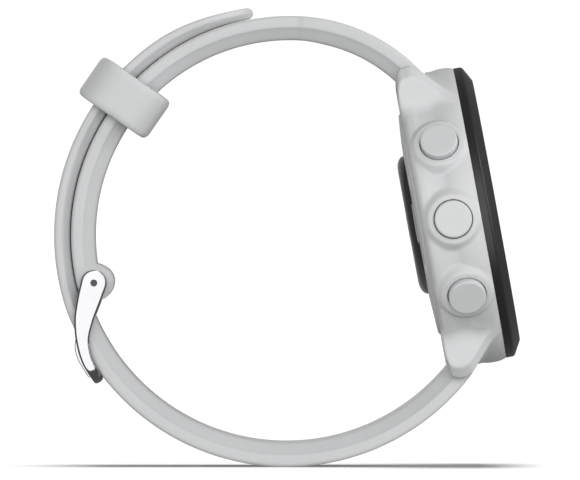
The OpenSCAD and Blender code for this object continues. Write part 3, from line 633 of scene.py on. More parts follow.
def lens_glass(name):
    """Clear coated glass: see-through face on, a mirror at a slant, faintly smudged."""
    f = Finish(name, Roughness=0.03, Specular_IOR_Level=0.8)
    f.shader.inputs["Base Color"].default_value = (0.01, 0.01, 0.014, 1)
    smudge = f.noise(5.0, 4).step(0.45, 0.75)
    f.paint("Roughness", 0.02 + 0.07 * smudge)
    clear = f.add("ShaderNodeBsdfTransparent", {}, {"Color": (0.93, 0.95, 0.96, 1)})
    facing = f.add("ShaderNodeLayerWeight", {}, {"Blend": 0.25}, "Fresnel")
    glass = Value(f, f.shader.outputs[0])
    share = facing + 0.03 + 0.03 * smudge
    mixed = f.add("ShaderNodeMixShader", {}, {0: share, 1: clear, 2: glass})
    f.tree.links.new(mixed.socket, f.tree.nodes["Material Output"].inputs["Surface"])
    return f


def window_glass(name):
    """Black glass with a clear middle, where the lamps and light sensors sit."""
    f = Finish(name, Roughness=0.06, Coat_Weight=0.6, Coat_Roughness=0.03)
    base = colours().glass
    x, v = f.head_axes()
    r = (x * x + v * v) ** 0.5
    ring = 1 - abs(r - 6.6).step(0.05, 0.16)
    tint = f.blend(1 - r.step(1.5, 6.4), base, shade(base, 3.2))
    f.paint("Base Color", f.blend(ring * 0.7, tint, (0.16, 0.16, 0.17)))
    f.paint("Roughness", 0.04 + 0.1 * f.noise(2.5, 4).step(0.5, 0.8))
    return f


def lamp_lens(name):
    """Smoky clear plastic with a green-grey cast and moulded rings."""
    f = Finish(name, Roughness=0.1, Coat_Weight=0.8, Coat_Roughness=0.04)
    rings = (f.from_head_axis() * 16).wave() * 0.5 + 0.5
    f.paint("Base Color", f.blend(rings * 0.4, (0.03, 0.05, 0.045), (0.09, 0.13, 0.11)))
    return f.bump(rings, 0.004)


def screen(name):
    """Reflective display: a pale grey-green sheet of fine square cells."""
    f = Finish(name, Roughness=0.35, Coat_Weight=0.4, Coat_Roughness=0.1)
    base = colours().screen
    x, v = f.head_axes()
    mesh = ((x * 24).wave() > 0.93) + ((v * 24).wave() > 0.93)
    tone = f.blend(f.noise(7.0, 2), shade(base, 0.94), shade(base, 1.05))
    f.paint("Base Color", f.blend(mesh * 0.35, tone, shade(base, 0.6)))
    f.paint("Roughness", 0.3 + 0.1 * mesh)
    return f


def printed_black(name):
    """Black ink under the lens, with the speckle of a fine screen print."""
    f = Finish(name, Roughness=0.5)
    f.paint("Base Color", f.blend(f.noise(0.25, 3), (0.006, 0.006, 0.007), (0.014, 0.014, 0.016)))
    return f.bump(f.noise(0.1, 2), 0.002)


def figure_ink(name):
    """Dark figures of the display, slightly uneven like liquid crystal."""
    f = Finish(name, Roughness=0.45)
    base = colours().figures
    f.paint("Base Color", f.blend(f.noise(0.5, 3), shade(base, 0.7), shade(base, 1.6)))
    return f


def polished_steel(name):
    """Polished steel: a bright face with hair-fine rubbing marks and dull smears."""
    f = Finish(name, Metallic=1.0, Roughness=0.16)
    base = colours().steel
    hair = f.noise(0.12, 3, (0.12, 1, 1), (0, radians(-62), 0))
    smear = f.noise(2.2, 4).step(0.5, 0.8)
    f.paint("Base Color", f.blend(hair, shade(base, 0.93), shade(base, 1.05)))
    f.paint("Roughness", 0.1 + 0.1 * smear + 0.06 * hair)
    return f.bump(hair, 0.0012)


def metal(name, base, roughness, grain=0.12, stretch=(1, 1, 1)):
    """Plain metal with drawn or rolled grain and duller patches."""
    f = Finish(name, Metallic=1.0, Roughness=roughness)
    hair = f.noise(grain, 3, stretch)
    patch = f.noise(1.4, 3).step(0.4, 0.8)
    f.paint("Base Color", f.blend(hair, shade(base, 0.86), shade(base, 1.08)))
    f.paint("Roughness", roughness + 0.12 * patch)
    return f.bump(hair, 0.003)


def bright_metal(name):
    return metal(name, (0.62, 0.62, 0.63), 0.24, stretch=(1, 0.1, 1))


def gold(name):
    return metal(name, (0.85, 0.62, 0.25), 0.2, 0.08)


def dark_steel(name):
    return metal(name, (0.035, 0.035, 0.038), 0.3, 0.08)


def battery_foil(name):
    return metal(name, (0.55, 0.56, 0.58), 0.35, 0.6, (1, 0.15, 1))


def plastic(name, base, roughness, grain, relief):
    """Moulded plastic or rubber with a grain and a mottled tone."""
    f = Finish(name, Roughness=roughness)
    mottle = f.noise(grain * 8, 3)
    f.paint("Base Color", f.blend(mottle, shade(base, 0.85), shade(base, 1.15)))
    f.paint("Roughness", roughness + 0.12 * mottle)
    return f.bump(f.noise(grain, 2), relief)


def seal_rubber(name):
    return plastic(name, (0.02, 0.02, 0.02), 0.6, 0.1, 0.01)


def chip_black(name):
    return plastic(name, (0.03, 0.03, 0.033), 0.5, 0.06, 0.006)


def clear_guide(name):
    return plastic(name, (0.75, 0.77, 0.75), 0.3, 0.2, 0.004)


def flex_amber(name):
    return plastic(name, (0.55, 0.27, 0.05), 0.35, 0.2, 0.004)


def circuit_board(name):
    """Green solder mask with paler tracks that run in two directions."""
    f = Finish(name, Roughness=0.35)
    x, v = f.head_axes()
    patch = f.noise(2.4, 1).step(0.49, 0.51)
    tracks = ((x * 9).wave() > 0.6) * patch + ((v * 9).wave() > 0.6) * (1 - patch)
    f.paint("Base Color", f.blend(tracks, (0.008, 0.07, 0.03), (0.02, 0.17, 0.07)))
    return f.bump(tracks, 0.02)


# What the CAD pieces that stay shown are made of, by their slots and two of them by name
NODE_FINISH = {"buckle_bar_pins": dark_steel, "buckle_bar_spring": dark_steel}
SLOT_FINISH = {
    "bright_metal": bright_metal,
    "gold": gold,
    "seal_rubber": seal_rubber,
    "display": screen,
    "clear_guide": clear_guide,
    "circuit_board": circuit_board,
    "chip_black": chip_black,
    "battery_foil": battery_foil,
    "flex_amber": flex_amber,
}


# ---- Watch head ----------------------------------------------------------------------


def case_profile(sizes, d):
    """Radius of the case ring at depth d: a rounded ridge, a waist and a back flange."""
    r = sizes.case_d / 2
    back = rim_depth(sizes)
    return through(d, [
        (sizes.bezel_h, r - 0.02), (sizes.bezel_h + 0.5, r + 0.17),
        (sizes.bezel_h + 1.5, r + sizes.flare), (sizes.bezel_h + 2.5, r + sizes.flare - 0.03),
        (sizes.bezel_h + 3.3, r + 0.12), (sizes.bezel_h + 4.1, r - 0.13), (back - 2.6, r - 0.2),
        (back - 1.3, r - 0.05), (back - 0.5, r - 0.3), (back, r - 0.9),
    ])


def lug_height(sizes, d, end):
    """Distance from the head's axis to the top of the lugs at depth d, at 12 o'clock
    (end 1) or 6 o'clock: a straight ramp, a rounded crest and a drop at the back."""
    crest = BAR_DEPTH - 0.05
    back = rim_depth(sizes)
    if end > 0:
        knots = [(sizes.bezel_h, -5.8), (crest - 2.3, -1.6), (crest - 0.7, -0.15), (crest, 0.17),
                 (crest + 0.8, 0.05), (crest + 1.75, -0.45), (back - 0.3, -1.1), (back, -2.6)]
    else:
        knots = [(sizes.bezel_h, -6.3), (crest - 2.25, -1.6), (crest - 0.7, -0.05), (crest, 0.17),
                 (crest + 1.15, 0.1), (back - 0.5, -0.35), (back, -1.6)]
    return BAR_OUT + 1.85 + through(d, knots)


def case_radius(sizes, angle, d):
    """Radius of the case at an angle and depth.

    It is the largest, with fillets, of the ring's profile, of the lug blocks, whose
    section is a straight top, an upright side and a slanted corner between them, and of
    the bosses, which are flat discs with soft skirts round the button axes.
    """
    radius = case_profile(sizes, d)
    side = sizes.horn_gap / 2 + sizes.horn_t
    c, s = np.abs(np.cos(angle)) + 1e-6, np.abs(np.sin(angle)) + 1e-6
    top = np.where(
        np.sin(angle) > 0, lug_height(sizes, d, 1), lug_height(sizes, d, -1)
    )
    drop, inset = 1.5, 1.25  # of the slanted corner, down the side and in along the top
    corner = (drop * side + inset * (top - drop)) / (drop * c + inset * s)
    block = smooth_min(smooth_min(top / s, side / c, 0.1), corner, 0.16)
    radius = smooth_max(radius, block, 1.4)
    boss_w = boss_reach(sizes)
    boss_depth = button_depth(sizes)
    for at in BUTTONS.values():
        turn = (angle - at + pi) % (2 * pi) - pi
        near = np.abs(turn) < 0.6
        tangent = np.tan(np.where(near, turn, 0.6))
        rho = np.hypot(boss_w * tangent, d - boss_depth)
        face = boss_w - 1.15 * beyond(rho - sizes.boss_d / 2 + 0.25, 0.2)
        boss = np.where(near, face / np.cos(np.where(near, turn, 0)), 0)
        radius = smooth_max(radius, boss, 0.3)
    return radius


def case_shape(sizes):
    """The case as a ring: its outline is followed down the side, in over the back to
    the cover's seat, up the cavity's wall and out under the bezel."""
    angle = np.arange(720) * pi / 360
    back = rim_depth(sizes)
    fillet = 0.45
    side_d = np.linspace(sizes.bezel_h, back - fillet, 62)
    turn = np.linspace(0, pi / 2, 7)[1:]
    depth = np.concatenate([side_d, back - fillet + fillet * np.sin(turn)])
    inward = np.concatenate([0 * side_d, fillet * (1 - np.cos(turn))])
    outer = case_radius(sizes, angle, depth[:, None]) - inward[:, None]
    cavity = cavity_radius(sizes)
    seat = cavity - 1.6
    ledge = cavity - 2.9
    share = np.linspace(0, 1, 6)[1:, None]
    over_back = mix(outer[-1], seat, share)
    inner = np.array([(seat, back - 0.75), (ledge, back - 0.75), (ledge, back - 1.5),
                      (cavity, back - 1.5), (cavity, sizes.bezel_h)])
    radius = np.concatenate([outer, over_back, np.repeat(inner[:, :1], len(angle), 1)])
    depths = np.concatenate([depth, np.full(len(share), back), inner[:, 1]])
    return Shape().add(polar_point(radius, angle, depths[:, None]), loop=True)


def strap_channels(sizes):
    """Space for the straps' round ends: a round-nosed slot across each end of the case."""
    r = sizes.channel_r
    half = sizes.horn_gap / 2
    turn = np.linspace(0, pi / 2, 16)
    nose = np.stack([BAR_OUT - r * np.cos(turn), BAR_DEPTH - r * np.sin(turn)], -1)
    far = BAR_OUT + 7
    deep = sizes.case_h + 2
    outline = np.concatenate([[(BAR_OUT - r, deep)], nose, [(far, BAR_DEPTH - r), (far, deep)]])
    shape = Shape()
    for end in (-1, 1):
        x = np.array([-half, half])[:, None]
        shape.add(head_point(x, end * outline[:, 0], outline[:, 1]))
    return shape


def button_wells(sizes):
    """Round wells for the caps, flared at the mouth, with bores for the stems."""
    boss = boss_reach(sizes)
    floor = boss - 1.4
    well = sizes.button_d / 2 + sizes.button_gap
    bore = sizes.stem_d / 2 + 0.45
    cavity = cavity_radius(sizes)
    profile = [(bore, cavity - 1), (bore, floor), (well, floor), (well, boss - 0.16),
               (well + 0.04, boss - 0.07), (well + 0.13, boss + 0.03), (well + 0.13, boss + 2)]
    shape = Shape()
    for at in BUTTONS.values():
        shape.add(button_turned(profile, 72, at))
    return shape


class WATCH_OT_case(Operator):
    """Build the moulded case with its lugs, bosses, strap channels and button wells"""

    bl_idname = "watch.case"
    bl_label = "Case"

    def execute(self, context):
        sizes = head_sizes()
        case = case_shape(sizes).object("case_shell")
        combine(case, strap_channels(sizes))
        combine(case, button_wells(sizes))
        finish_piece(case, material(case_polymer), "head",
                     ["case_body"], 32)
        return {"FINISHED"}


class WATCH_OT_bezel(Operator):
    """Build the black bezel ring, with its upright wall and sloping rim"""

    bl_idname = "watch.bezel"
    bl_label = "Bezel"

    def execute(self, context):
        sizes = head_sizes()
        r = sizes.case_d / 2
        lens = r - sizes.bezel_slope
        skirt = r - sizes.case_wall - 0.1
        ledge = sizes.lens_t + 0.15
        corners = [(lens - 0.05, 0, 0.06), (lens + 0.06, 0, 0.06), (r, sizes.bezel_h / 2 - 0.02, 0.35),
                   (r, sizes.bezel_h - 0.01, 0.1), (skirt, sizes.bezel_h - 0.01, 0.05),
                   (skirt, sizes.bezel_h + 0.8, 0.1), (skirt - 0.5, sizes.bezel_h + 0.8, 0.1),
                   (skirt - 0.5, ledge, 0.05), (lens - 0.05, ledge, 0.05)]
        shape = Shape().add(turned(rounded(corners), 256), loop=True)
        finish_piece(shape.object("bezel_ring"), material(bezel_black), "head",
                     ["bezel"])
        return {"FINISHED"}


# Bars of a figure: place of its middle (x, v), and whether it is upright
BARS = [(0, 1, 0), (1, 0.5, 1), (1, -0.5, 1), (0, -1, 0), (-1, -0.5, 1), (-1, 0.5, 1), (0, 0, 0)]
FIGURES = {"0": "012345", "1": "12", "2": "01346", "3": "01236", "5": "02356", "8": "0123456"}


def bar_outline(x, v, long, wide, upright):
    """A pointed bar about a middle: six corners, the two ends drawn to a point."""
    half, w = long / 2, wide / 2
    a = np.array([-half, -half + w, half - w, half, half - w, -half + w])
    b = np.array([0, w, w, 0, -w, -w])
    return (x + b, v + a) if upright else (x + a, v + b)


def figure(shape, text, x, v, high, depth):
    """Adds a row of figures made of bars, high tall, whose left end is at x."""
    wide = high * 0.5
    for letter in text:
        if letter == ":":
            for w in (-0.22, 0.22):
                dot = bar_outline(x + high * 0.04, v + w * high, high * 0.14, high * 0.12, 0)
                add_flat(shape, dot, depth)
            x += high * 0.28
            continue
        for bar in FIGURES[letter]:
            bx, bv, upright = BARS[int(bar)]
            bar_x = x + wide / 2 + bx * wide / 2
            outline = bar_outline(bar_x, v + bv * high / 2, high * 0.47, high * 0.115, upright)
            add_flat(shape, outline, depth)
        x += wide + high * 0.24


def add_flat(shape, outline, depth):
    """A thin plate with that outline, from depth down to the display."""
    x, v = outline
    shape.add(head_point(x, v, np.array([[depth], [depth + 0.03]])))


class WATCH_OT_display(Operator):
    """Build the lens, its printed border and the figures and ticks of the display"""

    bl_idname = "watch.display"
    bl_label = "Display"

    def execute(self, context):
        sizes = head_sizes()
        r = sizes.case_d / 2 - sizes.bezel_slope - 0.1
        edge = rounded([(r, 0, 0.12), (r, sizes.lens_t, 0.12), (0.02, sizes.lens_t, 0), (0.02, 0, 0)])
        profile = np.concatenate([[(0.02, 0)], edge[:12], [(0.02, sizes.lens_t)]])
        lens = Shape().add(turned(profile, 192)).object("lens_glass")
        finish_piece(lens, material(lens_glass), "head", ["lens"])

        top, bottom = sizes.lens_t + 0.01, sizes.lens_t + 0.05
        inner, outer = sizes.display_d / 2, cavity_radius(sizes) - 0.45
        border = [(inner, top), (outer, top), (outer, bottom), (inner, bottom)]
        ring = Shape().add(turned(border, 192), loop=True).object("lens_border")
        finish_piece(ring, material(printed_black), "head")

        figures = Shape()
        depth = sizes.lens_t + 0.24
        figure(figures, "10:28", -9.6, 1.6, 6.4, depth)
        for text, x in (("5", -7.1), ("32", -2.1), ("18", 4.0)):
            figure(figures, text, x, -6.0, 3.0, depth)
        for tick in range(60):
            long = 1.0 if tick % 5 == 0 else 0.5
            wide = 0.26 if tick % 5 == 0 else 0.12
            angle = tick * pi / 30
            a, b = bar_outline(inner - 0.5 - long / 2, 0, long, wide, 0)
            outline = (a * np.cos(angle) - b * np.sin(angle), a * np.sin(angle) + b * np.cos(angle))
            add_flat(figures, outline, depth)
        rule = (np.array([-9, 9, 9, -9]), np.array([-3.3, -3.3, -3.18, -3.18]))
        add_flat(figures, rule, depth)
        piece = figures.object("display_figures")
        finish_piece(piece, material(figure_ink), "head")
        return {"FINISHED"}


def screw_spots(sizes):
    """Places of the four cover screws about the head's axis."""
    ring = cavity_radius(sizes) - 3.9
    return [(ring * np.cos(a), ring * np.sin(a)) for a in np.radians([27, 153, 207, 333])]


def sensor_lamps(face):
    """Small clear domes over the lamps and light sensors in the window's face."""
    spots = Shape()
    turn = np.linspace(0, pi / 2, 6)
    for x, v, r in ((0, 2.3, 0.8), (0, -2.3, 0.8), (0, 0, 0.8), (4.6, 0, 1.7), (-4.6, 0, 1.7)):
        rim = np.stack([r - 0.12 * (1 - np.cos(turn)), face + 0.03 * np.sin(turn)], -1)
        profile = np.concatenate([[(0.02, face - 0.05), (r, face - 0.05)], rim])
        spots.add(turned(profile, 40, (x, v)))
    piece = spots.object("sensor_lamps")
    finish_piece(piece, material(lamp_lens), "head")


class WATCH_OT_back(Operator):
    """Build the back cover, the domed sensor window and the ports under it"""

    bl_idname = "watch.back"
    bl_label = "Back cover"

    def execute(self, context):
        sizes = head_sizes()
        window = sizes.window_d / 2
        cavity = cavity_radius(sizes)
        rim = cavity - 1.7
        seat, edge = sizes.case_h - 1.4, sizes.case_h - 0.4
        corners = [(window - 0.44, seat, 0.05), (rim, seat, 0.05), (rim, edge, 0.4),
                   (mix(rim, window, 0.5), sizes.case_h - 0.14, 1.5),
                   (window - 0.44, sizes.case_h, 0.05)]
        cover = Shape().add(turned(rounded(corners), 256), loop=True).object("back_cover")
        cuts = Shape()
        head_seat = edge - 0.45
        for spot in screw_spots(sizes):
            profile = [(0.8, seat - 1), (0.8, head_seat), (1.33, head_seat), (1.33, edge - 0.05),
                       (1.5, edge + 0.15), (1.5, edge + 1)]
            cuts.add(turned(profile, 48, spot))
        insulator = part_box("charging_insulator")
        port_v = -(window + 2.2)
        half_w = insulator[1].y / MM + 0.01
        half_l = 1.71  # half the port's size towards 12 o'clock
        port = rounded([(-half_w, port_v - half_l, 0.4), (half_w, port_v - half_l, 0.4),
                        (half_w, port_v + half_l, 0.4), (-half_w, port_v + half_l, 0.4)])
        depths = np.array([[seat - 1], [sizes.case_h + 1]])
        cuts.add(head_point(port[:, 0], port[:, 1], depths))
        combine(cover, cuts)
        finish_piece(cover, material(case_polymer), "head",
                     ["rear_cover"], 32)

        plug = window - 0.45
        turn = np.linspace(0, pi / 2, 16)
        brim = np.stack([window - 1.9 * (1 - np.cos(turn)),
                         sizes.case_h + sizes.window_h * np.sin(turn)], -1)
        profile = np.concatenate([[(0.02, sizes.case_h - 1.0), (plug, sizes.case_h - 1.0),
                                   (plug, sizes.case_h)], brim, [(0.02, brim[-1, 1])]])
        dome = Shape().add(turned(profile, 192)).object("sensor_dome")
        finish_piece(dome, material(window_glass), "head",
                     ["sensor_window"])
        sensor_lamps(brim[-1, 1])
        return {"FINISHED"}


class WATCH_OT_buttons(Operator):
    """Build the five button caps with their stems"""

    bl_idname = "watch.buttons"
    bl_label = "Buttons"

    def execute(self, context):
        sizes = head_sizes()
        boss = boss_reach(sizes)
        face = boss + sizes.button_proud
        r, stem = sizes.button_d / 2, sizes.stem_d / 2
        end = cavity_radius(sizes) - 1.15
        edge = rounded([(r, face, 0.3), (0.02, face - 0.04, 0), (0.02, end, 0), (r, end, 0)])[:6]
        top = [(r * s, face) for s in (0.8, 0.5, 0.2)]
        profile = [(0.02, face), *top[::-1], *edge[::-1].tolist(), (r, boss - 0.9), (stem, boss - 0.9),
                   (stem, end + 1.3), (stem - 0.25, end + 1.3), (stem - 0.25, end + 1.05),
                   (stem, end + 1.05), (stem, end + 0.15), (stem - 0.15, end)]
        for name, angle in BUTTONS.items():
            cap = Shape().add(button_turned(profile, 96, angle)).object(f"{name}_cap")
            finish_piece(cap, material(button_polymer), f"{name}_button",
                         [f"{name}_button"])
        return {"FINISHED"}


# ---- Band ----------------------------------------------------------------------------

LAP_DROP = 1.7  # how much nearer the wrist the upper strap runs than the loop
LAP_GAP = 0.1  # between the upper strap and the tail
KNUCKLE_DROP = 0.28  # from the buckle bar in to the middle of the knuckle
SHOULDER_EXTRA = 0.14  # added to the upper strap's thickness past the shoulder
SHOULDER_A = radians(87.5)  # where the upper strap bends more tightly
TIP_A = radians(98.5)  # end of the tail
LAP_A, LAP_TURN = radians(203.8), radians(6)  # where the lower strap rises, and over what
HOLE_A = radians(203.6)  # adjusting hole that the tongue is in
UPPER_TAPER = radians(100), radians(45)  # where the upper strap starts to widen, and over
LOWER_TAPER = radians(225), radians(75)  # what; and the same of the lower strap


def band_section(w, r_in, r_out):
    """Sections of the band as (y, radius) outlines, one for each w.

    The outer half of each edge is upright with a rounded outer corner. A soft crease
    parts it from the inner half, which slopes in to a narrower face against the wrist.
    """
    k = np.minimum(1, (r_out - r_in) / 2)
    middle = mix(r_in, r_out, 0.5)
    side = [(w - 1.4 * k, r_in, 0.5 * k), (w - 0.32 * k, middle - 0.17 * k, 0.42 * k),
            (w - 0.03 * k, middle + 0.12 * k, 0.3 * k), (w - 0.06 * k, r_out, 0.62 * k)]
    corners = side + [(-y, r, rounding) for y, r, rounding in reversed(side)]
    outline = rounded(np.stack([np.stack(corner, -1) for corner in corners], -2), 7)
    share = np.linspace(0, 1, 22)[1:-1, None]
    half = outline.shape[-2] // 2
    outer = mix(outline[..., half - 1 : half, :], outline[..., half : half + 1, :], share)
    inner = mix(outline[..., -1:, :], outline[..., :1, :], share)
    return np.concatenate([outline[..., :half, :], outer, outline[..., half:, :], inner], -2)


def band_rings(centre, angle, w, r_in, r_out):
    """Rings of the band at angles about the centres of its arcs."""
    section = band_section(w, r_in, r_out)
    out = section[..., 1:] * ray(angle)[:, None]
    return centre[:, None] + out + section[..., :1] * RIGHT


def lap_radii(band):
    """Radii about the lap's centre: inside and outside of the upper strap and the tail."""
    upper_in = band.wrist_r - LAP_DROP
    upper_out = upper_in + band.upper_t
    tail_in = upper_out + LAP_GAP
    return upper_in, upper_out, tail_in, tail_in + band.tail_t


def plane_angle(point):
    return atan2(point[2], point[0])


def upper_strap_rings(band):
    """Upper strap from its knuckle, along the long arc and the tighter shoulder, to the
    round end in the lugs. The knuckle is a circle round the buckle bar that the strap's
    two faces run into."""
    upper_in, upper_out, _, _ = lap_radii(band)
    knuckle = PIVOT_R - KNUCKLE_DROP
    shoulder_t = band.upper_t + SHOULDER_EXTRA
    centre = LAP + (upper_out - band.shoulder_r - shoulder_t) * ray(np.array(SHOULDER_A))
    long_arc = (PIVOT_A - SHOULDER_A) * PIVOT_R + band.knuckle_r
    s = distances(long_arc, 2 * band.knuckle_r, 0.01, 0.4)[:-13]
    angle = PIVOT_A + (band.knuckle_r - s) / PIVOT_R
    past = (angle - PIVOT_A) * PIVOT_R
    bulge = np.sqrt(np.maximum(band.knuckle_r**2 - past**2, 0.0004))
    in_bulge = np.abs(past) < band.knuckle_r
    swell = smooth_min(knuckle - bulge, np.full_like(angle, upper_in), 0.35)
    r_in = np.where(past > 0, knuckle - bulge, np.where(in_bulge, swell, upper_in))
    r_out = np.where(past > 0, np.minimum(upper_out, knuckle + bulge), upper_out)
    w = np.full_like(angle, band.tail_w / 2) + 0.1 * ease((band.knuckle_r + 2 + past) / 2)
    w = w - 0.35 * ease(past / band.knuckle_r)
    rings = [band_rings(np.repeat(LAP[None], len(angle), 0), angle, w, r_in, r_out)]

    bar_r = np.linalg.norm(UPPER_BAR - centre)
    bar_a = plane_angle(UPPER_BAR - centre)
    end_r = shoulder_t / 2
    short_arc = (SHOULDER_A - bar_a) * bar_r + end_r
    s = distances(short_arc, 0.01, end_r, 0.4)[14:]
    angle = SHOULDER_A - s / bar_r
    left = short_arc - s
    half = round_end(end_r, left)
    grow = SHOULDER_EXTRA * ease((SHOULDER_A - angle) / radians(12))
    limit_in = np.where(left < end_r, bar_r - half, 0)
    limit_out = np.where(left < end_r, bar_r + half, 99)
    r_in = np.maximum(band.shoulder_r + SHOULDER_EXTRA - grow, limit_in)
    r_out = np.minimum(band.shoulder_r + shoulder_t, limit_out)
    w = mix(band.tail_w / 2, band.lug_w / 2, ease((UPPER_TAPER[0] - angle) / UPPER_TAPER[1]))
    rings.append(band_rings(np.repeat(centre[None], len(angle), 0), angle, w, r_in, r_out))
    return np.concatenate(rings)


def lower_strap_faces(band, angle):
    """Inside and outside radius of the lower strap at angles about the loop's centre.

    It follows the wrist, then rises over the buckle's end to lie on the upper strap."""
    _, _, tail_in, tail_out = lap_radii(band)
    shift = LAP[0]

    def from_loop(r):
        return shift * np.cos(angle) + np.sqrt(r * r - (shift * np.sin(angle)) ** 2)

    lap = ease((LAP_A - angle) / LAP_TURN)
    r_in = mix(band.wrist_r, from_loop(tail_in), lap)
    return r_in, mix(band.wrist_r + band.lower_t, from_loop(tail_out), lap)


def lower_strap_rings(band):
    """Lower strap from the round end in the lugs, round the wrist, to the thin tip."""
    tail_in = lap_radii(band)[2]
    bar_r = np.linalg.norm(LOWER_BAR)
    end_r = band.lower_t / 2
    tip_l, tip_t = 8.0, 1.6  # length of the tip's curve, and its thickness
    bar_a = plane_angle(LOWER_BAR) % (2 * pi)
    start = bar_a + end_r / bar_r
    total = (start - TIP_A) * tail_in
    s = distances(total, end_r * tail_in / bar_r, tip_l, 0.35)
    angle = start - s / tail_in
    r_in, r_out = lower_strap_faces(band, angle)
    lug = (start - angle) * bar_r
    half = round_end(end_r, lug)
    r_in = np.where(lug < end_r, np.maximum(r_in, bar_r - half), r_in)
    r_out = np.where(lug < end_r, np.minimum(r_out, bar_r + half), r_out)
    tip = (angle - TIP_A) * tail_in
    thin = mix(tip_t, band.tail_t, ease(tip / 14))
    edge = tip_t / 2 - round_end(tip_t / 2, tip)
    near_tip = tip < 20
    r_out = np.where(near_tip, r_in + thin - np.where(tip < tip_t / 2, edge, 0), r_out)
    r_in = np.where(tip < tip_t / 2, r_in + edge, r_in)
    w = mix(band.tail_w / 2, band.lug_w / 2, ease((angle - LOWER_TAPER[0]) / LOWER_TAPER[1]))
    w = w * np.sqrt(1 - 0.97 * (1 - np.minimum(tip / tip_l, 1)) ** 2.4)
    return band_rings(np.zeros((len(angle), 3)), angle, w, r_in, r_out)


def adjusting_holes(band):
    """Obround holes through the tail and the loop, widened a little at both faces."""
    tail_out = lap_radii(band)[3]
    shape = Shape()
    half = (band.hole_l - band.hole_w) / 2
    turn = (np.arange(40) + 0.5) * pi / 20
    spread = np.array([0.22, 0.22, 0.05, 0, 0, 0.06, 0.25, 0.25])[:, None]
    for step in range(-8, 5):
        lap_a = HOLE_A + step * band.hole_pitch / tail_out
        middle = LAP + tail_out * ray(np.array(lap_a))
        at = plane_angle(middle) % (2 * pi)
        r_in, r_out = (float(r) for r in lower_strap_faces(band, np.array(at)))
        r = np.array([r_in - 1, r_in, r_in + 0.12, r_in + 0.3, r_out - 0.35, r_out - 0.12, r_out,
                      r_out + 1])[:, None]
        wide = band.hole_w / 2 + spread
        s = half * np.sign(np.cos(turn)) + wide * np.cos(turn)
        y = wide * np.sin(turn)
        out = ray(np.array(at))
        forward = ray(np.array(at + pi / 2))
        grid = r[..., None] * out + s[..., None] * forward + y[..., None] * RIGHT
        shape.add(grid)
    return shape


def bar_bore(at, radius):
    """A round bar across the band, to cut the bore for a spring bar."""
    turn = np.arange(40) * pi / 20
    ring = at + radius * ray(turn)
    y = np.array([-13.0, 13.0])[:, None, None]
    return ring[None] + y * RIGHT


def knuckle_notch(buckle):
    """Room for the tongue in the middle of the knuckle, open behind and outside."""
    out = ray(np.array(plane_angle(PIVOT)))
    forward = ray(np.array(plane_angle(PIVOT) + pi / 2))
    half = buckle.tongue_w / 2 + 0.2
    corners = rounded([(-1.8, -5, 0.01), (12, -5, 0.01), (12, 5, 0.01), (-1.8, 5, 0.9)])
    y = np.array([-half, half])[:, None, None]
    return PIVOT + corners[:, :1] * out + corners[:, 1:] * forward + y * RIGHT


class WATCH_OT_straps(Operator):
    """Build the two silicone straps, with adjusting holes and bores for their bars"""

    bl_idname = "watch.straps"
    bl_label = "Straps"

    def execute(self, context):
        band, buckle = band_sizes(), buckle_sizes()
        rubber = material(silicone)
        upper = Shape().add(upper_strap_rings(band)).object("upper_band_strap")
        for cut in (bar_bore(UPPER_BAR, 0.8), knuckle_notch(buckle), bar_bore(PIVOT, 0.65)):
            combine(upper, Shape().add(cut))
        finish_piece(upper, rubber, "upper_band", ["upper_strap"], 55)

        lower = Shape().add(lower_strap_rings(band)).object("lower_band_strap")
        combine(lower, Shape().add(bar_bore(LOWER_BAR, 0.8)))
        combine(lower, adjusting_holes(band))
        finish_piece(lower, rubber, None, ["lower_strap"], 55)
        start = 0.85 * LOWER_BAR * MM
        end = 0.4 * ray(np.array(radians(154))) * band.wrist_r * MM
        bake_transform(lower)
        return {"FINISHED"}


KEEPER_GAP = 0.45  # between the keeper and the straps inside it
KEEPER_AT = radians(140.4)
KEEPER_TILT = radians(4.9)  # the loose keeper sits this much askew


def keeper_rings(band):
    """The keeper: a rounded rectangular loop round both straps.

    Its wall's section runs from a flat inner face to a crowned outer face, and is
    carried round the loop between an inner and an outer outline with matching points.
    """
    upper_in, _, _, tail_out = lap_radii(band)
    low, high = upper_in - KEEPER_GAP, tail_out + KEEPER_GAP
    half_y = band.tail_w / 2 + KEEPER_GAP
    wall, side = band.keeper_wall, band.keeper_wall - 0.4

    def loop(r_low, r_high, y, corner):
        corners = [(r_low, -y, corner), (r_high, -y, corner), (r_high, y, corner), (r_low, y, corner)]
        arcs = rounded(corners, 12).reshape(4, 12, 2)
        gaps = mix(arcs[:, -1:], np.roll(arcs, -1, 0)[:, :1], np.linspace(0, 1, 10)[1:-1, None])
        return np.concatenate([arcs, gaps], 1).reshape(-1, 2)

    inner = loop(low, high, half_y, 0.7)
    outer = loop(low - wall, high + wall, half_y + side, 5)
    half = band.keeper_l / 2
    section = rounded([(0, -half, 0.35), (0.45, -half, 0.2), (0.98, -half + 0.08, 0.95),
                       (0.98, half - 0.08, 0.95), (0.45, half, 0.2), (0, half, 0.35)], 8)
    # the section's first number is a share of the wall, its second goes along the band
    share, along = section[:, 0], section[:, 1]
    share = np.where(share > 0.97, 0.98 + 0.02 * (1 - (along / half) ** 2), share)
    points = mix(inner[:, None], outer[:, None], share[None, :, None])
    middle = (low + high) / 2
    out, forward = (ray(np.array(KEEPER_AT + KEEPER_TILT + a)) for a in (0, pi / 2))
    return (LAP + middle * ray(np.array(KEEPER_AT)) + (points[..., :1] - middle) * out
            + points[..., 1:] * RIGHT + along[None, :, None] * forward)


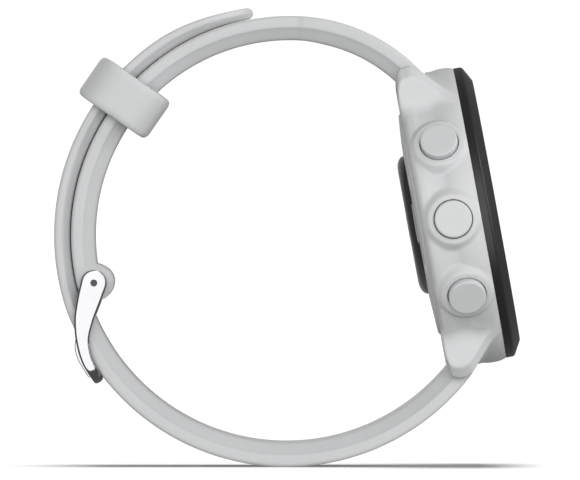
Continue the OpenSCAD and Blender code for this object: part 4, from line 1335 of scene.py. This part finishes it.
class WATCH_OT_keeper(Operator):
    """Build the sliding keeper that holds the tail down"""

    bl_idname = "watch.keeper"
    bl_label = "Keeper"

    def execute(self, context):
        keeper = Shape().add(keeper_rings(band_sizes()), loop=True).object("keeper_loop")
        finish_piece(keeper, material(silicone), "keeper", ["keeper"])
        return {"FINISHED"}


# ---- Buckle --------------------------------------------------------------------------

# Shares of the buckle's length and climb that the middle line of each leaf goes through
PLATE_LINE = [(0, 0), (0.19, 0.26), (0.38, 0.55), (0.58, 0.8), (0.79, 0.95), (1, 1)]
PLATE_HALF = [1, 0.9, 0.74, 0.52, 0.44, 0.4]  # half width at each, as a share of its radius
TONGUE_LINE = [(0, 0), (0.2, 0.16), (0.36, 0.37), (0.47, 0.68), (0.545, 0.88), (0.62, 1.01),
               (0.72, 1.08), (0.82, 1.11), (0.93, 1.13)]
PLATE_GAP = 0.3  # between the tail's edges and the side plates
CROSSBAR_GAP = 0.13  # between the lower strap and the crossbar


def buckle_point(band, buckle, shares):
    """Places along the buckle: along the band past the bar, and out from the strap."""
    _, upper_out, _, _ = lap_radii(band)
    along, climb = np.array(shares, float).T
    end_a = PIVOT_A + buckle.reach / upper_out
    strap_face = band.wrist_r + band.lower_t - LAP[0] * np.cos(end_a)
    crossbar = strap_face + CROSSBAR_GAP + buckle.crossbar_d / 2
    r = PIVOT_R + climb * (crossbar - PIVOT_R)
    return LAP + r[:, None] * ray(PIVOT_A + along * buckle.reach / upper_out)


def unit(v):
    return v / np.linalg.norm(v, axis=-1, keepdims=True)


def flat_rings(line, out, side, half, thick, edge):
    """Rings of a flat bar along a line: rectangles with corners rounded by edge.

    Each reaches half to both sides along out, and thick / 2 to both sides along side.
    """
    half, thick, edge = np.broadcast_arrays(half, thick, np.minimum(edge, half * 0.8))
    corners = np.stack([
        np.stack([a * half, b * thick / 2, edge], -1)
        for a, b in ((-1, -1), (1, -1), (1, 1), (-1, 1))
    ], -2)
    outline = rounded(corners, 7)
    return line[:, None] + outline[..., :1] * out[:, None] + outline[..., 1:] * side[:, None]


def round_start(line, half, steps=10):
    """Adds a round end before a leaf's line: points with a circle's half widths."""
    turn = np.linspace(0.08, pi / 2, steps, endpoint=False)
    head = line[0] + (half[0] * np.cos(turn))[:, None] * unit(line[0] - line[1])
    return np.concatenate([head, line]), np.concatenate([half[0] * np.sin(turn), half])


def leaf_normals(line):
    return np.cross(unit(np.gradient(line, axis=0)), RIGHT)


def frame_rings(band, buckle):
    """Rings of the buckle's frame, which is one bent bar.

    It runs down a side plate from the plate's round end, turns a quarter circle inward,
    crosses the band as a round crossbar, and goes back up the other plate. The second
    half is the first with Y reversed.
    """
    bend_r = 2.3
    bar_r = buckle.crossbar_d / 2
    middle = band.tail_w / 2 + PLATE_GAP + buckle.plate_t / 2
    line = curve_through(buckle_point(band, buckle, PLATE_LINE), 12)
    half = curve_through(np.array(PLATE_HALF)[:, None] * buckle.plate_r, 12)[:, 0]
    end = line[-1]
    before = np.linalg.norm(line - end, axis=1) > bend_r + 0.1
    line, half = round_start(line[before], half[before])
    ahead = unit(end - line[-1])
    turn = np.linspace(0, pi / 2, 12)[:, None]
    corner = end - bend_r * ahead + bend_r * (np.sin(turn) * ahead - (1 - np.cos(turn)) * RIGHT)
    straight = end - np.linspace(bend_r, middle, 8)[1:, None] * RIGHT
    share = np.concatenate([0 * half, turn[:, 0] / (pi / 2), np.ones(len(straight))])
    sides = np.concatenate([
        0 * line + RIGHT, np.cos(turn) * RIGHT + np.sin(turn) * ahead, 0 * straight + ahead,
    ])
    rest = len(turn) + len(straight)
    outs = np.concatenate([leaf_normals(line), np.tile(np.cross(ahead, RIGHT), (rest, 1))])
    half = np.concatenate([half, np.full(rest, half[-1])])
    rings = flat_rings(
        np.concatenate([line, corner, straight]) + middle * RIGHT, outs, sides,
        mix(half, bar_r, share), mix(buckle.plate_t, buckle.crossbar_d, share),
        mix(0.42, bar_r * 0.9, share),
    )
    return np.concatenate([rings, rings[-2::-1] * (1, -1, 1)])


def tongue_rings(band, buckle):
    """Rings of the tongue, which thins towards its tip; both its ends are round."""
    line = curve_through(buckle_point(band, buckle, TONGUE_LINE), 10)
    left = np.arange(len(line))[::-1]
    half = buckle.tongue_t / 2 * (1 - 0.28 * ease(1 - left / 20))
    line, half = round_start(line, half, 6)
    line, half = round_start(line[::-1], half[::-1], 6)
    return flat_rings(line, leaf_normals(line), 0 * line + RIGHT, half, buckle.tongue_w, 0.18)


def rod(a, b, r, fillet=0.1):
    """Rings of a round bar along Y from point a to point b."""
    turn = np.arange(40) * pi / 20
    radius = np.array([r - fillet, r, r, r - fillet])[:, None, None]
    length = (b - a)[1]
    y = np.array([0, fillet, length - fillet, length])[:, None, None]
    return a + radius * ray(turn)[None] + y * RIGHT


class WATCH_OT_buckle(Operator):
    """Build the polished buckle frame and its tongue"""

    bl_idname = "watch.buckle"
    bl_label = "Buckle"

    def execute(self, context):
        band, buckle = band_sizes(), buckle_sizes()
        steel = material(polished_steel)
        piece = Shape().add(frame_rings(band, buckle)).object("buckle_plates")
        combine(piece, Shape().add(bar_bore(PIVOT, 0.5)))
        finish_piece(piece, steel, "buckle", ["buckle_frame"], 42)

        tongue = Shape().add(tongue_rings(band, buckle)).object("pin_tongue")
        wide = RIGHT * buckle.tongue_w / 2
        combine(tongue, Shape().add(rod(PIVOT - wide, PIVOT + wide, 1.24)), "UNION")
        combine(tongue, Shape().add(bar_bore(PIVOT, 0.66)))
        finish_piece(tongue, steel, "tongue", ["buckle_tongue"], 42)
        return {"FINISHED"}


# ---- CAD pieces that stay shown ------------------------------------------------------


class WATCH_OT_inside(Operator):
    """Give the pieces inside the case and in the band their finishes"""

    bl_idname = "watch.inside"
    bl_label = "Inner pieces"

    def execute(self, context):
        for part in frame["record"]["subparts"]:
            node = frame["nodes"][part["node"]]
            if node.hide_render:
                continue
            finish = NODE_FINISH.get(part["node"], SLOT_FINISH[part["material_slot"]])
            for place in node.material_slots:
                place.material = material(finish)
        return {"FINISHED"}


# ---- Stage ---------------------------------------------------------------------------


def area_light(name, place, size, watts):
    """A square soft light at a place, turned to face the watch."""
    data = bpy.data.lights.new(name, "AREA")
    data.size = size
    data.energy = watts
    light = bpy.data.objects.new(name, data)
    light.location = place
    light.rotation_euler = Vector(place).to_track_quat("Z", "Y").to_euler()
    bpy.context.scene.collection.objects.link(light)
    return light


class WATCH_OT_stage(Operator):
    """Set the pale floor, the soft light and the camera that faces the watch's side"""

    bl_idname = "watch.stage"
    bl_label = "Stage"

    def execute(self, context):
        scene = context.scene
        scene.view_settings.view_transform = "Standard"
        self.camera(scene)
        floor = self.floor()
        self.sky(scene)
        watch_only = self.all_but(floor)
        for name, place, side, watts in (
            ("front_softbox", (0, -3.4, 0.0), 4.4, 225),
            ("lens_softbox", (3.2, -0.4, 1.2), 2.2, 70),
            ("back_softbox", (-1.4, 3.0, 1.2), 2.2, 90),
        ):
            light = area_light(name, place, side, watts)
            light.light_linking.receiver_collection = watch_only
            light.visible_glossy = name != "back_softbox"
        return {"FINISHED"}

    def camera(self, scene):
        """A long lens a little above the watch's middle, which it looks at."""
        data = bpy.data.cameras.new("camera")
        data.sensor_width = 36
        distance, height = 3.0, 0.02
        aim, frame_width = Vector((0.000525, 0, -0.000752)), 0.08227
        data.lens = data.sensor_width * distance / frame_width
        data.clip_start, data.clip_end = 0.1, 60
        camera = bpy.data.objects.new("camera", data)
        camera.location = aim + Vector((0, -distance, height))
        camera.rotation_euler = (pi / 2 - atan2(height, distance), 0, 0)
        scene.collection.objects.link(camera)
        scene.camera = camera

    def floor(self):
        """A wide plain floor that the band rests on."""
        reach, level = 8.0, CAD_BOX[0].z
        corners = [(-reach, -reach, level), (reach, -reach, level), (reach, reach, level),
                   (-reach, reach, level)]
        mesh = bpy.data.meshes.new("floor")
        mesh.from_pydata(corners, [], [(0, 1, 2, 3)])
        floor = bpy.data.objects.new("floor", mesh)
        bpy.context.scene.collection.objects.link(floor)
        f = Finish("floor_paper", Roughness=0.9, Specular_IOR_Level=0.2)
        f.paint("Base Color", f.blend(f.noise(3, 3), (0.9, 0.9, 0.9), (0.94, 0.94, 0.94)))
        mesh.materials.append(f.material)
        floor.visible_diffuse = floor.visible_glossy = False
        self.floor_light(floor)
        return floor

    def all_but(self, thing):
        """A collection for light linking that stands for everything except one object."""
        rest = bpy.data.collections.new("all_but_" + thing.name)
        rest.objects.link(thing)
        for item in rest.collection_objects:
            item.light_linking.link_state = "EXCLUDE"
        return rest

    def floor_light(self, floor):
        """Broad light from above that falls on the floor alone, past the watch."""
        data = bpy.data.lights.new("floor_light", "SUN")
        data.energy = 2.9
        data.angle = radians(34)
        light = bpy.data.objects.new("floor_light", data)
        bpy.context.scene.collection.objects.link(light)
        lit = bpy.data.collections.new("floor_only")
        lit.objects.link(floor)
        light.light_linking.receiver_collection = lit

    def sky(self, scene):
        """White light from all round, weaker on surfaces than it looks to the camera."""
        on_matt, on_glossy, seen = 0.34, 0.26, 1.06
        world = bpy.data.worlds.new("studio")
        scene.world = world
        world.use_nodes = True
        nodes = Nodes(world.node_tree)
        background = world.node_tree.nodes["Background"]
        background.inputs["Color"].default_value = (1, 1, 1, 1)
        camera_ray = nodes.add("ShaderNodeLightPath", output="Is Camera Ray")
        glossy_ray = nodes.add("ShaderNodeLightPath", output="Is Glossy Ray")
        strength = on_matt + camera_ray * (seen - on_matt) + glossy_ray * (on_glossy - on_matt)
        world.node_tree.links.new(strength.socket, background.inputs["Strength"])


# ---- Add-on --------------------------------------------------------------------------

OPERATORS = [
    WATCH_OT_stage,
    WATCH_OT_case,
    WATCH_OT_bezel,
    WATCH_OT_display,
    WATCH_OT_back,
    WATCH_OT_buttons,
    WATCH_OT_straps,
    WATCH_OT_keeper,
    WATCH_OT_buckle,
    WATCH_OT_inside,
]


class WATCH_PT_build(Panel):
    """Sizes, colours and build steps of the running watch"""

    bl_idname = "WATCH_PT_build"
    bl_label = "Running Watch"
    bl_space_type = "VIEW_3D"
    bl_region_type = "UI"
    bl_category = "Watch"

    def draw(self, context):
        for operator in OPERATORS:
            self.layout.operator(operator.bl_idname)
        for group, kind in GROUPS.items():
            box = self.layout.box()
            for name in kind.__annotations__:
                box.prop(getattr(context.scene, group), name)


def register():
    for kind in [*GROUPS.values(), *OPERATORS, WATCH_PT_build]:
        bpy.utils.register_class(kind)
    for name, kind in GROUPS.items():
        setattr(bpy.types.Scene, name, PointerProperty(type=kind))


def unregister():
    for name in GROUPS:
        delattr(bpy.types.Scene, name)
    for kind in [WATCH_PT_build, *OPERATORS[::-1], *GROUPS.values()]:
        bpy.utils.unregister_class(kind)


def main():
    register()
    for operator in OPERATORS:
        step = operator.bl_idname.removeprefix("watch.")
        getattr(bpy.ops.watch, step)()


if __name__ == "__main__":
    main()
